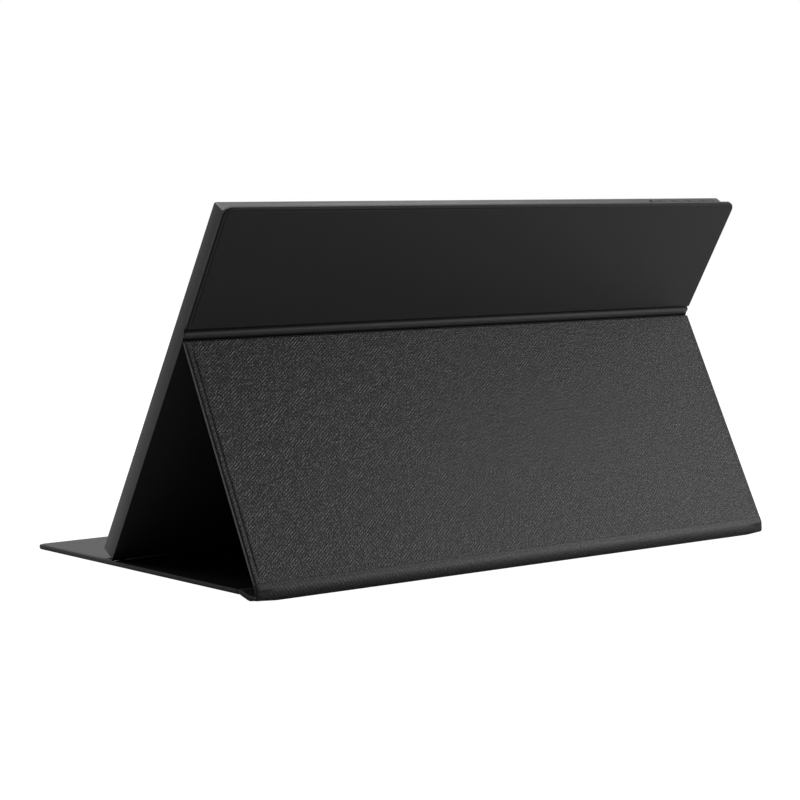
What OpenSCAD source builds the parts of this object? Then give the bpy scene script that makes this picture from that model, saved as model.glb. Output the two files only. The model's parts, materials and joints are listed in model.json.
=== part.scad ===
// Portable monitor standing in its folded folio cover.
// Millimetres. X is the width, the screen faces -Y, Z is up and z = 0 is the table.
// The origin is the middle of the footprint, on the table.

/* [Display slab] */
// Width of the picture
picture_w = 344.2; // [310:0.1:360]
// Height of the picture
picture_h = 193.6; // [184:0.1:212]
// Width of the border beside the picture
side_border = 5.9; // [5.5:0.1:9]
// Height of the border above the picture
top_border = 10; // [9.5:0.1:14]
// Height of the chin below the picture
chin_h = 15; // [12:0.1:16]
// Thickness of the slab
slab_t = 9.9; // [9.6:0.1:12]
// Radius of the slab's corners
slab_corner_r = 1; // [0.8:0.1:4]
// Thickness of the housing's rear wall
rear_wall_t = 1.2; // [1:0.1:1.6]
// Thickness of the housing's side walls
side_wall_t = 2; // [1.6:0.1:2.4]
// Width of the rim around the bezel
bezel_rim_w = 1; // [0.8:0.1:1.2]
// Thickness of the bezel sheet
bezel_t = 0.8; // [0.6:0.1:1]
// How far the bezel lies below the rim
bezel_recess = 0.1; // [0:0.05:0.3]

/* [Screen stack] */
// Margin of the glass around the picture
glass_margin = 1.8; // [1.4:0.1:2.2]
// Thickness of the screen glass
glass_t = 1.1; // [0.9:0.1:1.2]
// Thickness of the foam gasket between glass and bezel
gasket_t = 0.3; // [0.2:0.1:0.4]
// Thickness of the diffuser films
films_t = 0.5; // [0.3:0.1:0.6]
// Thickness of the light guide
guide_t = 0.8; // [0.6:0.1:0.9]
// Thickness of the reflector sheet
reflector_t = 0.2; // [0.1:0.05:0.3]
// Thickness of the steel backlight tray
tray_t = 0.4; // [0.3:0.1:0.5]
// Room for the lamp strip below the light guide
lamp_room = 2.4; // [2:0.1:3]

/* [Electronics] */
// Width of the driver board
board_w = 78; // [70:1:90]
// Height of the driver board
board_h = 72; // [70:1:80]
// Height of the driver board above the foot
board_y = 29; // [28:1:31]
// Thickness of the circuit boards
pcb_t = 0.8; // [0.6:0.1:0.9]
// Gap under the driver board
board_gap = 0.3; // [0.3:0.05:0.4]
// Distance between the ports
port_pitch = 17; // [16:0.5:18]
// Height of the lowest port above the board's edge
port_first = 9; // [8.5:0.5:10]
// Depth of the port shells
port_depth = 8; // [7:0.5:10]
// Width of the round-ended sockets
usb_w = 9; // [8.9:0.1:9.2]
// Height of the round-ended sockets
usb_h = 3.2; // [3:0.1:3.3]
// Width of the video socket
video_w = 11.2; // [10.8:0.1:11.6]
// Thickness of the sockets' sheet metal
shell_t = 0.3; // [0.25:0.05:0.35]
// Radius of the headphone socket's bore
jack_bore_r = 1.8; // [1.75:0.05:1.9]
// Depth of the headphone socket's bore
jack_depth = 14; // [12:0.5:15]
// Length of the speakers
speaker_w = 44; // [36:1:50]
// Height of the speakers
speaker_h = 16; // [14:1:18]
// Distance from the side walls to the speakers
speaker_inset = 9; // [8:1:12]
// Number of sound slots below each speaker
sound_slots = 12; // [6:1:14]

/* [Keys] */
// Length of the dark key strip on the top edge
strip_w = 53; // [50:1:60]
// Distance from the slab's side to the key strip
strip_inset = 4; // [3.5:0.5:8]
// Width of the key strip across the edge
strip_t = 4.2; // [4:0.1:4.6]
// How far the key strip stands out of the edge
strip_proud = 0.4; // [0.2:0.1:0.6]
// Depth of the strip's seat
strip_seat = 0.6; // [0.4:0.1:0.8]
// Distance from the rear face to the keys' middle
key_z = 6.2; // [5.8:0.1:6.4]
// Length of the single keys
key_w = 9; // [8:0.5:10]
// Length of the level rocker
rocker_w = 20; // [18:0.5:21]
// Thickness of the keys
key_t = 2.2; // [2:0.1:2.4]
// Travel of the single keys
key_travel = 0.5; // [0.3:0.1:0.5]
// Clearance around each key
key_gap = 0.25; // [0.2:0.05:0.3]

/* [Cover panels] */
// How far the cover stands out beside the slab
cover_lap = 2; // [1:0.5:5]
// Thickness of a cover panel
panel_t = 2.7; // [2.5:0.1:3.2]
// Thickness of the outer skin
skin_t = 0.6; // [0.5:0.1:0.8]
// Thickness of the inner lining
lining_t = 0.5; // [0.4:0.1:0.6]
// Width of the skin turned over the panels' edges
rim_w = 0.8; // [0.6:0.1:1.2]
// Radius of the cover's corners
cover_corner_r = 5; // [4:0.5:8]
// How far the upper panel reaches above the slab
overhang = 4; // [2:0.5:6]
// Width of the ridged strip above the fold
crease_w = 5.6; // [5:0.1:7]
// Width of each groove beside the ridge
groove_w = 1.7; // [1.2:0.1:1.8]
// Depth of the grooves
groove_depth = 0.7; // [0.4:0.1:1]
// Gap between the leaves of a fold
fold_gap = 0.3; // [0.2:0.05:0.4]

/* [Tent] */
// Distance along the slab from its foot to the fold
crease_h = 146; // [143:0.5:147]
// Length of the stand panel from fold to roll
stand_len = 140; // [137:0.5:142]
// Radius of the roll at the stand panel's lower end
roll_r = 2.3; // [2.2:0.1:2.5]
// Clearance between the roll and the stand panel
roll_gap = 0.3; // [0.25:0.05:0.4]
// Depth of the spine strip, roll included
spine_w = 18; // [17:0.5:20]
// Length of the spine that lies flat
spine_flat = 10; // [9:0.5:11]
// How far the spine lifts the rear edge of the flap
spine_rise = 2; // [1.5:0.1:2.5]
// Length of the front flap
flap_len = 204; // [200:1:206]
// Distance from the flap's front edge to the foot
foot_inset = 79.5; // [77:0.5:81]
// Clearance under the foot
foot_gap = 0.1; // [0.05:0.05:0.2]
// Width of the foot groove in front of the foot
groove_front = 1; // [0.8:0.1:1.5]
// Width of the foot groove behind the foot
groove_rear = 3; // [2.5:0.5:4]
// Thickness of the grip strip in the foot groove
grip_t = 0.2; // [0.1:0.05:0.25]

/* [Magnets] */
// Length of each magnet
magnet_w = 40; // [30:1:50]
// Width of each magnet
magnet_h = 10; // [8:1:12]
// Thickness of each magnet
magnet_t = 1; // [0.8:0.1:1.2]
// Distance between the magnets of a panel
magnet_pitch = 110; // [100:1:130]

/* [Hidden] */
$fn = 48;
EPS = 0.01;

slab_w = picture_w + 2 * side_border;
slab_h = chin_h + picture_h + top_border;
cover_w = slab_w + 2 * cover_lap;

// Depths in the slab, counted from its rear face
bezel_z = slab_t - bezel_recess - bezel_t;
gasket_z = bezel_z - gasket_t;
glass_z = gasket_z - glass_t;
films_z = glass_z - films_t;
guide_z = films_z - guide_t;
reflector_z = guide_z - reflector_t;
tray_z = reflector_z - tray_t;
room_t = tray_z - rear_wall_t;

// Outlines in the slab
glass_w = picture_w + 2 * glass_margin;
glass_y = chin_h - glass_margin;
glass_h = picture_h + 2 * glass_margin;
tray_wall_t = tray_t;
tray_w = glass_w + 2 * tray_wall_t;
tray_y = glass_y - lamp_room - tray_wall_t;
tray_h = glass_h + lamp_room + 2 * tray_wall_t;
min_corner_r = 0.5;
cavity_w = slab_w - 2 * side_wall_t;
cavity_x = cavity_w / 2;
board_x = -cavity_x + 0.3;
post_r = 2.5;
board_z = rear_wall_t + board_gap;
board_top = board_z + pcb_t;
board_screw_inset = 5;
board_screw_x = board_x + board_w - board_screw_inset;
board_screws_xy = [
    for (x = [board_x + board_w * 0.4, board_screw_x])
        for (y = [board_screw_inset, board_h - board_screw_inset])
            [x, board_y + y]
];
screw_r = 0.9;
screw_head_r = 1.8;
screw_head_t = 0.7;
screw_bite = 0.7;
port_y = [for (i = [0:3]) board_y + port_first + i * port_pitch];
port_recess = 0.3;
socket_back_t = 1.2;
port_x = -slab_w / 2 + port_recess;
window_gap = 0.2;
jack_w = 2 * jack_bore_r + 2;
jack_h = min(room_t - 0.1, jack_w);
jack_z = rear_wall_t + room_t / 2;
speaker_t = room_t - 0.3;
speaker_x = cavity_x - speaker_inset - speaker_w;
speaker_y = side_wall_t + 1;
slot_w = 1.6;
slot_pitch = 3;
ribbon_w = 12;
ribbon_t = 0.25;
ribbon_x = board_screw_x - post_r - 1 - ribbon_w;
panel_board_x = ribbon_x - 2;
panel_board_w = speaker_x - panel_board_x - 27;
panel_board_h = 12;
panel_board_y = tray_y + 2;
panel_board_z = tray_z - pcb_t;
panel_chips = 4;
panel_chip_w = 9;
panel_chip_h = 6;
panel_chip_t = 0.9;
lead_t = 0.25;
lead_w = 2.4;

// Posts that carry the tray, between the catch plates and clear of the boards
catch_x = 22;
catch_y = (crease_h + crease_w + slab_h + overhang) / 2;
post_inset = 16;
post_low = panel_board_y + panel_board_h + post_r + 20;
post_high = slab_h - post_inset;
board_post_low = board_y + board_h + post_r + 8;
post_xy = [
    for (x = [catch_x - magnet_pitch / 2, catch_x + magnet_pitch / 2, cavity_x - post_inset / 2])
        for (i = [0:3])
            [x, post_low + (post_high - post_low) * i / 3]
];
side_post_xy = [
    for (i = [0:2])
        [-cavity_x + post_inset, board_post_low + (post_high - board_post_low) * i / 2]
];

// Keys on the top edge, in the order they stand from the side
key_room = 3;
strip_x = -slab_w / 2 + strip_inset;
power_x = strip_x + key_room + key_w / 2;
menu_x = power_x + key_w + key_room;
rocker_x = menu_x + key_w / 2 + key_room + rocker_w / 2;
key_flange = 0.7;
key_flange_t = 0.8;
key_top_proud = 0.15;
inner_top = slab_h - side_wall_t;
key_bottom = inner_top - fold_gap - key_flange_t;
switch_top = key_bottom - key_travel - 0.1;
switch_w = 4;
switch_h = 2;
switch_plunger_r = 1;
switch_plunger_h = 0.5;
key_board_y = switch_top - switch_plunger_h - switch_h - pcb_t;
key_board_w = strip_w - 2;
key_board_x = strip_x + 1;
key_ribbon_w = 5;
key_ribbon_x = key_board_x + key_board_w - key_ribbon_w - 13;

// Side view of the tent: foot F, fold C and roll S in the Y-Z plane
board_layer_t = panel_t - skin_t - lining_t;
flap_tilt = asin(spine_rise / flap_len);
base_depth = spine_w + flap_len * cos(flap_tilt) + panel_t * sin(flap_tilt);
rear_y = base_depth / 2;
roll_y = rear_y - roll_r;
roll_z = roll_r;
flap_y = rear_y - spine_w;
foot_local_y = foot_inset - flap_len;
foot_local_z = panel_t - lining_t + grip_t + foot_gap;
foot_y = flap_y + foot_local_y * cos(flap_tilt) - foot_local_z * sin(flap_tilt);
foot_z = spine_rise + foot_local_y * sin(flap_tilt) + foot_local_z * cos(flap_tilt);
foot_to_roll = norm([roll_y - foot_y, roll_z - foot_z]);
foot_to_fold = norm([crease_h, panel_t]);
fold_to_roll = norm([stand_len, roll_r]);
base_angle = atan2(roll_z - foot_z, roll_y - foot_y);
foot_angle = acos(
    (foot_to_fold ^ 2 + foot_to_roll ^ 2 - fold_to_roll ^ 2) / (2 * foot_to_fold * foot_to_roll)
);
lean = base_angle + foot_angle + atan2(panel_t, crease_h);
fold_y = foot_y + crease_h * cos(lean) + panel_t * sin(lean);
fold_z = foot_z + crease_h * sin(lean) - panel_t * cos(lean);
stand_angle = atan2(fold_z - roll_z, roll_y - fold_y) - atan2(roll_r, stand_len);
echo(lean = lean, stand_angle = stand_angle, close_angle = 180 - lean - stand_angle);
echo(fold = [fold_y, fold_z], roll = [roll_y, roll_z], flap = [flap_y, spine_rise]);
echo(foot = [foot_y, foot_z], base_depth = base_depth);

upper_y = crease_h + crease_w;
upper_top = slab_h + overhang;
half_gap = fold_gap / 2;
roll_clear_r = roll_r + roll_gap;
spine_end = -(spine_w - roll_r - half_gap);
magnet_skin = (board_layer_t - magnet_t) / 2;
magnet_room = 0.1;
groove_rear_y = foot_local_y + groove_rear;
groove_front_y = foot_local_y - groove_front;

// Local frames: the slab's rear face, the stand panel's outer face, the roll and the flap
module in_slab() {
    translate([0, foot_y, foot_z])
        rotate([lean, 0, 0])
            children();
}

module in_stand() {
    translate([0, fold_y, fold_z])
        rotate([-stand_angle, 0, 0])
            children();
}

module in_spine() {
    translate([0, roll_y, roll_z])
        children();
}

module in_flap() {
    translate([0, flap_y, spine_rise])
        rotate([flap_tilt, 0, 0])
            children();
}

// A box centred on X
module mid_box(w, y, h, z, t) {
    translate([-w / 2, y, z])
        cube([w, h, t]);
}

// A box from its lowest corner
module box(x, y, z, w, h, t) {
    translate([x, y, z])
        cube([w, h, t]);
}

// Corner radius of an outline that lies a distance inside the slab's
function inset_r(inset) = max(slab_corner_r - inset, min_corner_r);

// A plate centred on X with four round corners
module round_plate(w, y, h, z, t, r) {
    translate([0, y, z])
        linear_extrude(t)
            union() {
                translate([-w / 2 + r, 0])
                    square([w - 2 * r, h]);
                translate([-w / 2, r])
                    square([w, h - 2 * r]);
                for (x = [-w / 2 + r, w / 2 - r])
                    for (cy = [r, h - r])
                        translate([x, cy])
                            circle(r);
            }
}

// A plate centred on X with its two far corners rounded, at the end in direction dir
module end_plate(w, y, h, z, t, r, dir = 1) {
    flip = dir > 0 ? 0 : 1;
    translate([0, y, z])
        mirror([0, flip, 0])
            linear_extrude(t)
                union() {
                    translate([-w / 2, 0])
                        square([w, h - r]);
                    translate([-w / 2 + r, 0])
                        square([w - 2 * r, h]);
                    for (x = [-w / 2 + r, w / 2 - r])
                        translate([x, h - r])
                            circle(r);
                }
}

// A profile in the Y-Z plane, carried across the width w
module across(w) {
    translate([-w / 2, 0, 0])
        rotate([90, 0, 90])
            linear_extrude(w)
                children();
}

// A flat bar with round ends, along X in the top edge, from depth y0 up to y1
module edge_pill(x, w, t, y0, y1) {
    translate([x, y1, key_z])
        rotate([90, 0, 0])
            linear_extrude(y1 - y0)
                union() {
                    square([w - t, t], center = true);
                    for (s = [-1, 1])
                        translate([s * (w - t) / 2, 0])
                            circle(t / 2);
                }
}

// A row of three magnets or plates around the middle (x, y), with grow added all round
module magnet_row(x, y, z, t, grow = 0) {
    for (i = [-1:1])
        translate([x + i * magnet_pitch, y, z])
            mid_box(magnet_w + 2 * grow, -magnet_h / 2 - grow, magnet_h + 2 * grow, 0, t);
}

// Slab: casing

module port_window(y, w, h) {
    box(-slab_w / 2 - 1, y - w / 2, board_top - window_gap, side_wall_t + 2, w, h);
}

module sound_slot_row(side) {
    for (i = [0:sound_slots - 1])
        box(side * (speaker_x + speaker_w / 2) + (i - (sound_slots - 1) / 2) * slot_pitch - slot_w / 2,
            -1, rear_wall_t + 1, slot_w, side_wall_t + 2, speaker_t - 2);
}

module rear_housing() {
    color([0.24, 0.24, 0.25]) in_slab() {
        difference() {
            round_plate(slab_w, 0, slab_h, 0, slab_t, slab_corner_r);
            round_plate(cavity_w, side_wall_t, slab_h - 2 * side_wall_t, rear_wall_t, slab_t,
                inset_r(side_wall_t - 0.5));
            round_plate(slab_w - 2 * bezel_rim_w, bezel_rim_w, slab_h - 2 * bezel_rim_w,
                bezel_z, slab_t, inset_r(bezel_rim_w));
            for (y = [port_y[0], port_y[1]])
                port_window(y, usb_w + 2 * window_gap, usb_h + 2 * window_gap);
            port_window(port_y[2], video_w + 2 * window_gap, usb_h + 2 * window_gap);
            translate([-slab_w / 2 - 1, port_y[3], jack_z])
                rotate([0, 90, 0])
                    cylinder(h = side_wall_t + 2, r = jack_bore_r + 0.4);
            for (side = [-1, 1])
                sound_slot_row(side);
            box(strip_x, slab_h - strip_seat, key_z - strip_t / 2, strip_w, 2, strip_t);
            for (x = [power_x, menu_x])
                edge_pill(x, key_w + 2 * key_gap, key_t + 2 * key_gap, inner_top - 1, slab_h + 1);
            edge_pill(rocker_x, rocker_w + 2 * key_gap, key_t + 2 * key_gap, inner_top - 1, slab_h + 1);
            for (p = board_screws_xy)
                translate([p[0], p[1], rear_wall_t - screw_bite])
                    cylinder(h = screw_bite + 1, r = screw_r);
        }
        for (p = concat(post_xy, side_post_xy))
            translate([p[0], p[1], rear_wall_t - EPS])
                cylinder(h = room_t + EPS, r = post_r);
        for (p = board_screws_xy)
            translate([p[0], p[1], rear_wall_t - EPS])
                difference() {
                    cylinder(h = board_gap + EPS, r = post_r);
                    translate([0, 0, -1])
                        cylinder(h = 3, r = screw_r);
                }
    }
}

module front_bezel() {
    gap = 0.05;
    color([0.06, 0.06, 0.065]) in_slab()
        difference() {
            round_plate(slab_w - 2 * bezel_rim_w - 2 * gap, bezel_rim_w + gap,
                slab_h - 2 * bezel_rim_w - 2 * gap, bezel_z, bezel_t, inset_r(bezel_rim_w));
            mid_box(picture_w, chin_h, picture_h, bezel_z - 1, bezel_t + 2);
        }
}

module bezel_gasket() {
    gasket_w = 1.2;
    color([0.1, 0.1, 0.1]) in_slab()
        difference() {
            mid_box(picture_w + 2 * gasket_w, chin_h - gasket_w, picture_h + 2 * gasket_w, gasket_z,
                gasket_t);
            mid_box(picture_w, chin_h, picture_h, gasket_z - 1, gasket_t + 2);
        }
}

// Slab: screen stack

module screen_glass() {
    color([0.03, 0.035, 0.045]) in_slab()
        mid_box(glass_w, glass_y, glass_h, glass_z, glass_t);
}

module diffuser_films() {
    color([0.92, 0.93, 0.95]) in_slab()
        mid_box(glass_w, glass_y, glass_h, films_z, films_t);
}

module light_guide() {
    color([0.8, 0.9, 0.95]) in_slab()
        mid_box(glass_w, glass_y, glass_h, guide_z, guide_t);
}

module reflector_sheet() {
    color("white") in_slab()
        mid_box(glass_w, glass_y - lamp_room, glass_h + lamp_room, reflector_z, reflector_t);
}

module lamp_strip() {
    strip_len = glass_w - 6;
    backing_t = 0.6;
    lamp_w = 3;
    lamp_pitch = 8;
    lamps = floor(strip_len / lamp_pitch);
    color([0.95, 0.9, 0.7]) in_slab() {
        mid_box(strip_len, tray_y + tray_wall_t, backing_t, guide_z, guide_t);
        for (i = [0:lamps - 1])
            box((i - (lamps - 1) / 2) * lamp_pitch - lamp_w / 2, tray_y + tray_wall_t + backing_t - EPS,
                guide_z, lamp_w, lamp_room - backing_t - 0.2, guide_t - 0.1);
    }
}

module backlight_tray() {
    color([0.72, 0.73, 0.75]) in_slab()
        difference() {
            mid_box(tray_w, tray_y, tray_h, tray_z, films_z + films_t - tray_z);
            mid_box(tray_w - 2 * tray_wall_t, tray_y + tray_wall_t, tray_h - 2 * tray_wall_t,
                tray_z + tray_t, slab_t);
        }
}

// Slab: electronics

module driver_board() {
    notch_gap = 0.2;
    color([0.05, 0.3, 0.16]) in_slab()
        difference() {
            box(board_x, board_y, board_z, board_w, board_h, pcb_t);
            box(board_x - 1, port_y[3] - jack_w / 2 - notch_gap, board_z - 1,
                jack_depth + 1.6, jack_w + 2 * notch_gap, pcb_t + 2);
            for (p = board_screws_xy)
                translate([p[0], p[1], board_z - 1])
                    cylinder(h = pcb_t + 2, r = screw_r + 0.2);
        }
}

module board_chips() {
    // Place as a share of the board, then width, height and thickness
    chips = [[0.4, 0.22, 12, 12, 1.2], [0.38, 0.58, 9, 9, 1.1], [0.62, 0.36, 10, 8, 1.4],
        [0.77, 0.67, 6, 5, 1.2], [0.26, 0.42, 5, 4, 1.0], [0.8, 0.24, 7, 7, 2.2]];
    color([0.08, 0.08, 0.09]) in_slab()
        for (c = chips)
            box(board_x + c[0] * board_w, board_y + c[1] * board_h, board_top, c[2], c[3], c[4]);
}

module board_screws() {
    color("silver") in_slab()
        for (p = board_screws_xy)
            translate([p[0], p[1], 0]) {
                translate([0, 0, board_top])
                    difference() {
                        cylinder(h = screw_head_t, r = screw_head_r);
                        for (a = [0, 90])
                            rotate(a)
                                translate([-1, -0.25, screw_head_t - 0.35])
                                    cube([2, 0.5, 1]);
                    }
                translate([0, 0, rear_wall_t - screw_bite + 0.05])
                    cylinder(h = board_top - rear_wall_t + screw_bite, r = screw_r - 0.05);
            }
}

// A sheet-metal socket with round ends, mouth towards -X, around height y
module round_socket(y) {
    tongue_t = 0.7;
    in_slab() {
        color([0.75, 0.76, 0.78])
            difference() {
                socket_body(y, usb_w, usb_h, port_x, port_depth);
                socket_body(y, usb_w - 2 * shell_t, usb_h - 2 * shell_t, port_x - 1,
                    port_depth - socket_back_t + 1);
            }
        color([0.1, 0.1, 0.1])
            box(port_x + 1, y - usb_w * 0.36, board_top + usb_h / 2 - tongue_t / 2,
                port_depth - 2.1, usb_w * 0.72, tongue_t);
    }
}

module socket_body(y, w, h, x, depth) {
    translate([x, y, board_top + usb_h / 2])
        rotate([90, 0, 90])
            linear_extrude(depth)
                union() {
                    square([w - h, h], center = true);
                    for (s = [-1, 1])
                        translate([s * (w - h) / 2, 0])
                            circle(h / 2);
                }
}

module power_port() {
    round_socket(port_y[0]);
}

module data_port() {
    round_socket(port_y[1]);
}

// A video socket, a trapezoid with a tongue
module video_port() {
    half = video_w / 2;
    foot = 1.2;
    color([0.75, 0.76, 0.78]) in_slab() {
        difference() {
            translate([port_x, port_y[2], board_top])
                rotate([90, 0, 90])
                    linear_extrude(port_depth)
                        polygon([[-half + foot, 0], [half - foot, 0], [half, foot], [half, usb_h],
                            [-half, usb_h], [-half, foot]]);
            translate([port_x - 1, port_y[2], board_top])
                rotate([90, 0, 90])
                    linear_extrude(port_depth)
                        polygon([[-half + foot + shell_t, shell_t], [half - foot - shell_t, shell_t],
                            [half - shell_t, foot + shell_t / 2], [half - shell_t, usb_h - shell_t],
                            [-half + shell_t, usb_h - shell_t], [-half + shell_t, foot + shell_t / 2]]);
        }
        box(port_x + 1, port_y[2] - half * 0.7, board_top + usb_h * 0.55, port_depth - 1.5, half * 1.4, 0.6);
    }
}

module headphone_jack() {
    barrel_l = side_wall_t - port_recess + 0.3;
    color([0.08, 0.08, 0.085]) in_slab()
        difference() {
            union() {
                box(port_x + barrel_l, port_y[3] - jack_w / 2, jack_z - jack_h / 2,
                    jack_depth - barrel_l, jack_w, jack_h);
                translate([port_x, port_y[3], jack_z])
                    rotate([0, 90, 0])
                        cylinder(h = barrel_l + EPS, r = jack_bore_r + 0.3);
            }
            translate([port_x - 1, port_y[3], jack_z])
                rotate([0, 90, 0])
                    cylinder(h = jack_depth, r = jack_bore_r);
        }
}

module panel_board() {
    color([0.05, 0.3, 0.16]) in_slab() {
        box(panel_board_x, panel_board_y, panel_board_z, panel_board_w, panel_board_h, pcb_t);
        for (i = [1:panel_chips])
            box(panel_board_x + ribbon_w + (panel_board_w - ribbon_w) * i / (panel_chips + 1) - panel_chip_w / 2,
                panel_board_y + (panel_board_h - panel_chip_h) / 2, panel_board_z - panel_chip_t,
                panel_chip_w, panel_chip_h, panel_chip_t + EPS);
    }
}

// The flat cable from the driver board up to the panel board
module display_ribbon() {
    low = board_top;
    high = panel_board_z - ribbon_t;
    y0 = panel_board_y + 3;
    y1 = panel_board_y + panel_board_h + 1;
    y2 = board_y + 1;
    y3 = board_y + 8;
    color([0.75, 0.55, 0.2]) in_slab()
        translate([ribbon_x + ribbon_w / 2, 0, 0])
            across(ribbon_w)
                polygon([[y0, high], [y1, high], [y2, low], [y3, low], [y3, low + ribbon_t],
                    [y2, low + ribbon_t], [y1, high + ribbon_t], [y0, high + ribbon_t]]);
}

module speaker(side) {
    cone_r = speaker_h / 2 - 2;
    color([0.12, 0.12, 0.13]) in_slab()
        difference() {
            translate([side * (speaker_x + speaker_w / 2), 0, 0])
                mid_box(speaker_w, speaker_y, speaker_h, rear_wall_t, speaker_t);
            translate([side * (speaker_x + speaker_w / 2), speaker_y + speaker_h / 2,
                rear_wall_t + speaker_t - 0.6])
                cylinder(h = 2, r = cone_r);
        }
}

module speaker_left() {
    speaker(1);
}

module speaker_right() {
    speaker(-1);
}

// Flat twin leads on the rear wall, from each speaker to the driver board
module speaker_leads() {
    lead_y = speaker_y + speaker_h / 2;
    end_y = board_y + 4;
    left_turn = board_screw_x - post_r - 1 - lead_w;
    right_turn = left_turn - 4 - lead_w;
    color([0.5, 0.1, 0.1]) in_slab() {
        box(left_turn, lead_y, rear_wall_t, speaker_x - left_turn, lead_w, lead_t);
        box(left_turn, lead_y, rear_wall_t, lead_w, end_y - lead_y, lead_t);
        box(-speaker_x, lead_y, rear_wall_t, right_turn + speaker_x + lead_w, lead_w, lead_t);
        box(right_turn, lead_y, rear_wall_t, lead_w, end_y - lead_y, lead_t);
    }
}

// Slab: keys

module key_board() {
    color([0.05, 0.3, 0.16]) in_slab() {
        box(key_board_x, key_board_y, rear_wall_t, key_board_w, pcb_t, bezel_z - rear_wall_t - 0.3);
        box(rocker_x - 1, key_board_y + pcb_t - EPS, key_z - key_t / 2,
            2, switch_top - key_board_y - pcb_t + key_travel, key_t);
    }
}

module key_switch(x) {
    box(x - switch_w / 2, key_board_y + pcb_t, key_z - switch_w / 2, switch_w, switch_h, switch_w);
    translate([x, key_board_y + pcb_t + switch_h - EPS, key_z])
        rotate([-90, 0, 0])
            cylinder(h = switch_plunger_h + EPS, r = switch_plunger_r);
}

module key_switches() {
    color([0.6, 0.6, 0.62]) in_slab()
        for (x = [power_x, menu_x, rocker_x - rocker_w * 0.36, rocker_x + rocker_w * 0.36])
            key_switch(x);
}

// The flat cable from the key board down the rear wall to the driver board
module key_ribbon() {
    end_y = board_y + board_h - 4;
    color([0.75, 0.55, 0.2]) in_slab()
        box(key_ribbon_x, end_y, rear_wall_t, key_ribbon_w, key_board_y - end_y, ribbon_t);
}

module key_strip() {
    side_gap = 0.05;
    color([0.09, 0.09, 0.095]) in_slab()
        difference() {
            box(strip_x + side_gap, slab_h - strip_seat, key_z - strip_t / 2 + side_gap,
                strip_w - 2 * side_gap, strip_seat + strip_proud, strip_t - 2 * side_gap);
            for (x = [power_x, menu_x])
                edge_pill(x, key_w + 2 * key_gap, key_t + 2 * key_gap, slab_h - 2, slab_h + 2);
            edge_pill(rocker_x, rocker_w + 2 * key_gap, key_t + 2 * key_gap, slab_h - 2, slab_h + 2);
        }
}

module key(x, w) {
    edge_pill(x, w, key_t, key_bottom, slab_h + strip_proud + key_top_proud);
    edge_pill(x, w + 2 * key_flange, key_t + 2 * key_flange, key_bottom, key_bottom + key_flange_t);
}

module power_key() {
    color([0.14, 0.14, 0.15]) in_slab()
        key(power_x, key_w);
}

module menu_key() {
    color([0.14, 0.14, 0.15]) in_slab()
        key(menu_x, key_w);
}

module level_rocker() {
    color([0.14, 0.14, 0.15]) in_slab()
        difference() {
            key(rocker_x, rocker_w);
            box(rocker_x - 0.4, slab_h + strip_proud - 0.1, 0, 0.8, 1, slab_t);
        }
}

module catch_plates() {
    plate_t = 0.5;
    color([0.6, 0.6, 0.62]) in_slab()
        magnet_row(catch_x, catch_y, rear_wall_t, plate_t);
}

// Cover: upper panel, fixed to the slab's rear face

module upper_skin() {
    color([0.16, 0.16, 0.165]) in_slab()
        difference() {
            end_plate(cover_w, upper_y, upper_top - upper_y, -panel_t, panel_t, cover_corner_r);
            end_plate(cover_w - 2 * rim_w, upper_y + rim_w, upper_top - upper_y - 2 * rim_w,
                skin_t - panel_t, panel_t, cover_corner_r - rim_w);
        }
}

module upper_board() {
    color([0.55, 0.5, 0.42]) in_slab()
        difference() {
            end_plate(cover_w - 2 * rim_w, upper_y + rim_w, upper_top - upper_y - 2 * rim_w,
                skin_t - panel_t, board_layer_t, cover_corner_r - rim_w);
            magnet_row(catch_x, catch_y, skin_t - panel_t + magnet_skin, magnet_t, magnet_room);
        }
}

module upper_lining() {
    color([0.3, 0.3, 0.31]) in_slab()
        end_plate(cover_w - 2 * rim_w, upper_y + rim_w, upper_top - upper_y - 2 * rim_w,
            -lining_t, lining_t, cover_corner_r - rim_w);
}

module upper_magnets() {
    color([0.7, 0.7, 0.72]) in_slab()
        magnet_row(catch_x, catch_y, skin_t - panel_t + magnet_skin, magnet_t);
}

// The flexible strip between upper panel and fold, with a ridge between two grooves
module crease_strip() {
    top = -panel_t;
    low = top + groove_depth;
    y0 = crease_h + half_gap;
    color([0.13, 0.13, 0.135]) in_slab()
        across(cover_w)
            polygon([[y0, 0], [y0, low], [y0 + groove_w * 0.6, low], [y0 + groove_w, top],
                [upper_y - groove_w, top], [upper_y - groove_w * 0.6, low], [upper_y, low],
                [upper_y, 0]]);
}

// Cover: stand panel, hinged at the fold

module stand_cut() {
    translate([-cover_w, stand_len, -roll_r])
        rotate([0, 90, 0])
            cylinder(h = 2 * cover_w, r = roll_clear_r, $fn = 64);
}

module stand_skin() {
    edge = rim_w + groove_w;
    color([0.19, 0.19, 0.195]) in_stand()
        difference() {
            mid_box(cover_w, half_gap, stand_len - half_gap, -panel_t, panel_t);
            mid_box(cover_w - 2 * rim_w, half_gap + edge,
                stand_len - half_gap - edge - roll_clear_r - rim_w, -panel_t - 1, panel_t + 1 - skin_t);
            across(cover_w + 2)
                polygon([[0, 1], [0, -groove_depth], [half_gap + groove_w * 0.4, -groove_depth],
                    [half_gap + groove_w, 0], [half_gap + groove_w, 1]]);
            stand_cut();
        }
}

module stand_fill(z, t) {
    edge = rim_w + groove_w;
    in_stand()
        mid_box(cover_w - 2 * rim_w, half_gap + edge,
            stand_len - half_gap - edge - roll_clear_r - rim_w, z, t);
}

module stand_board() {
    color([0.55, 0.5, 0.42])
        stand_fill(-skin_t - board_layer_t, board_layer_t);
}

module stand_lining() {
    color([0.3, 0.3, 0.31])
        stand_fill(-panel_t, lining_t);
}

// Cover: spine, rolled round the stand panel's lower end and flat on the table

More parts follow.
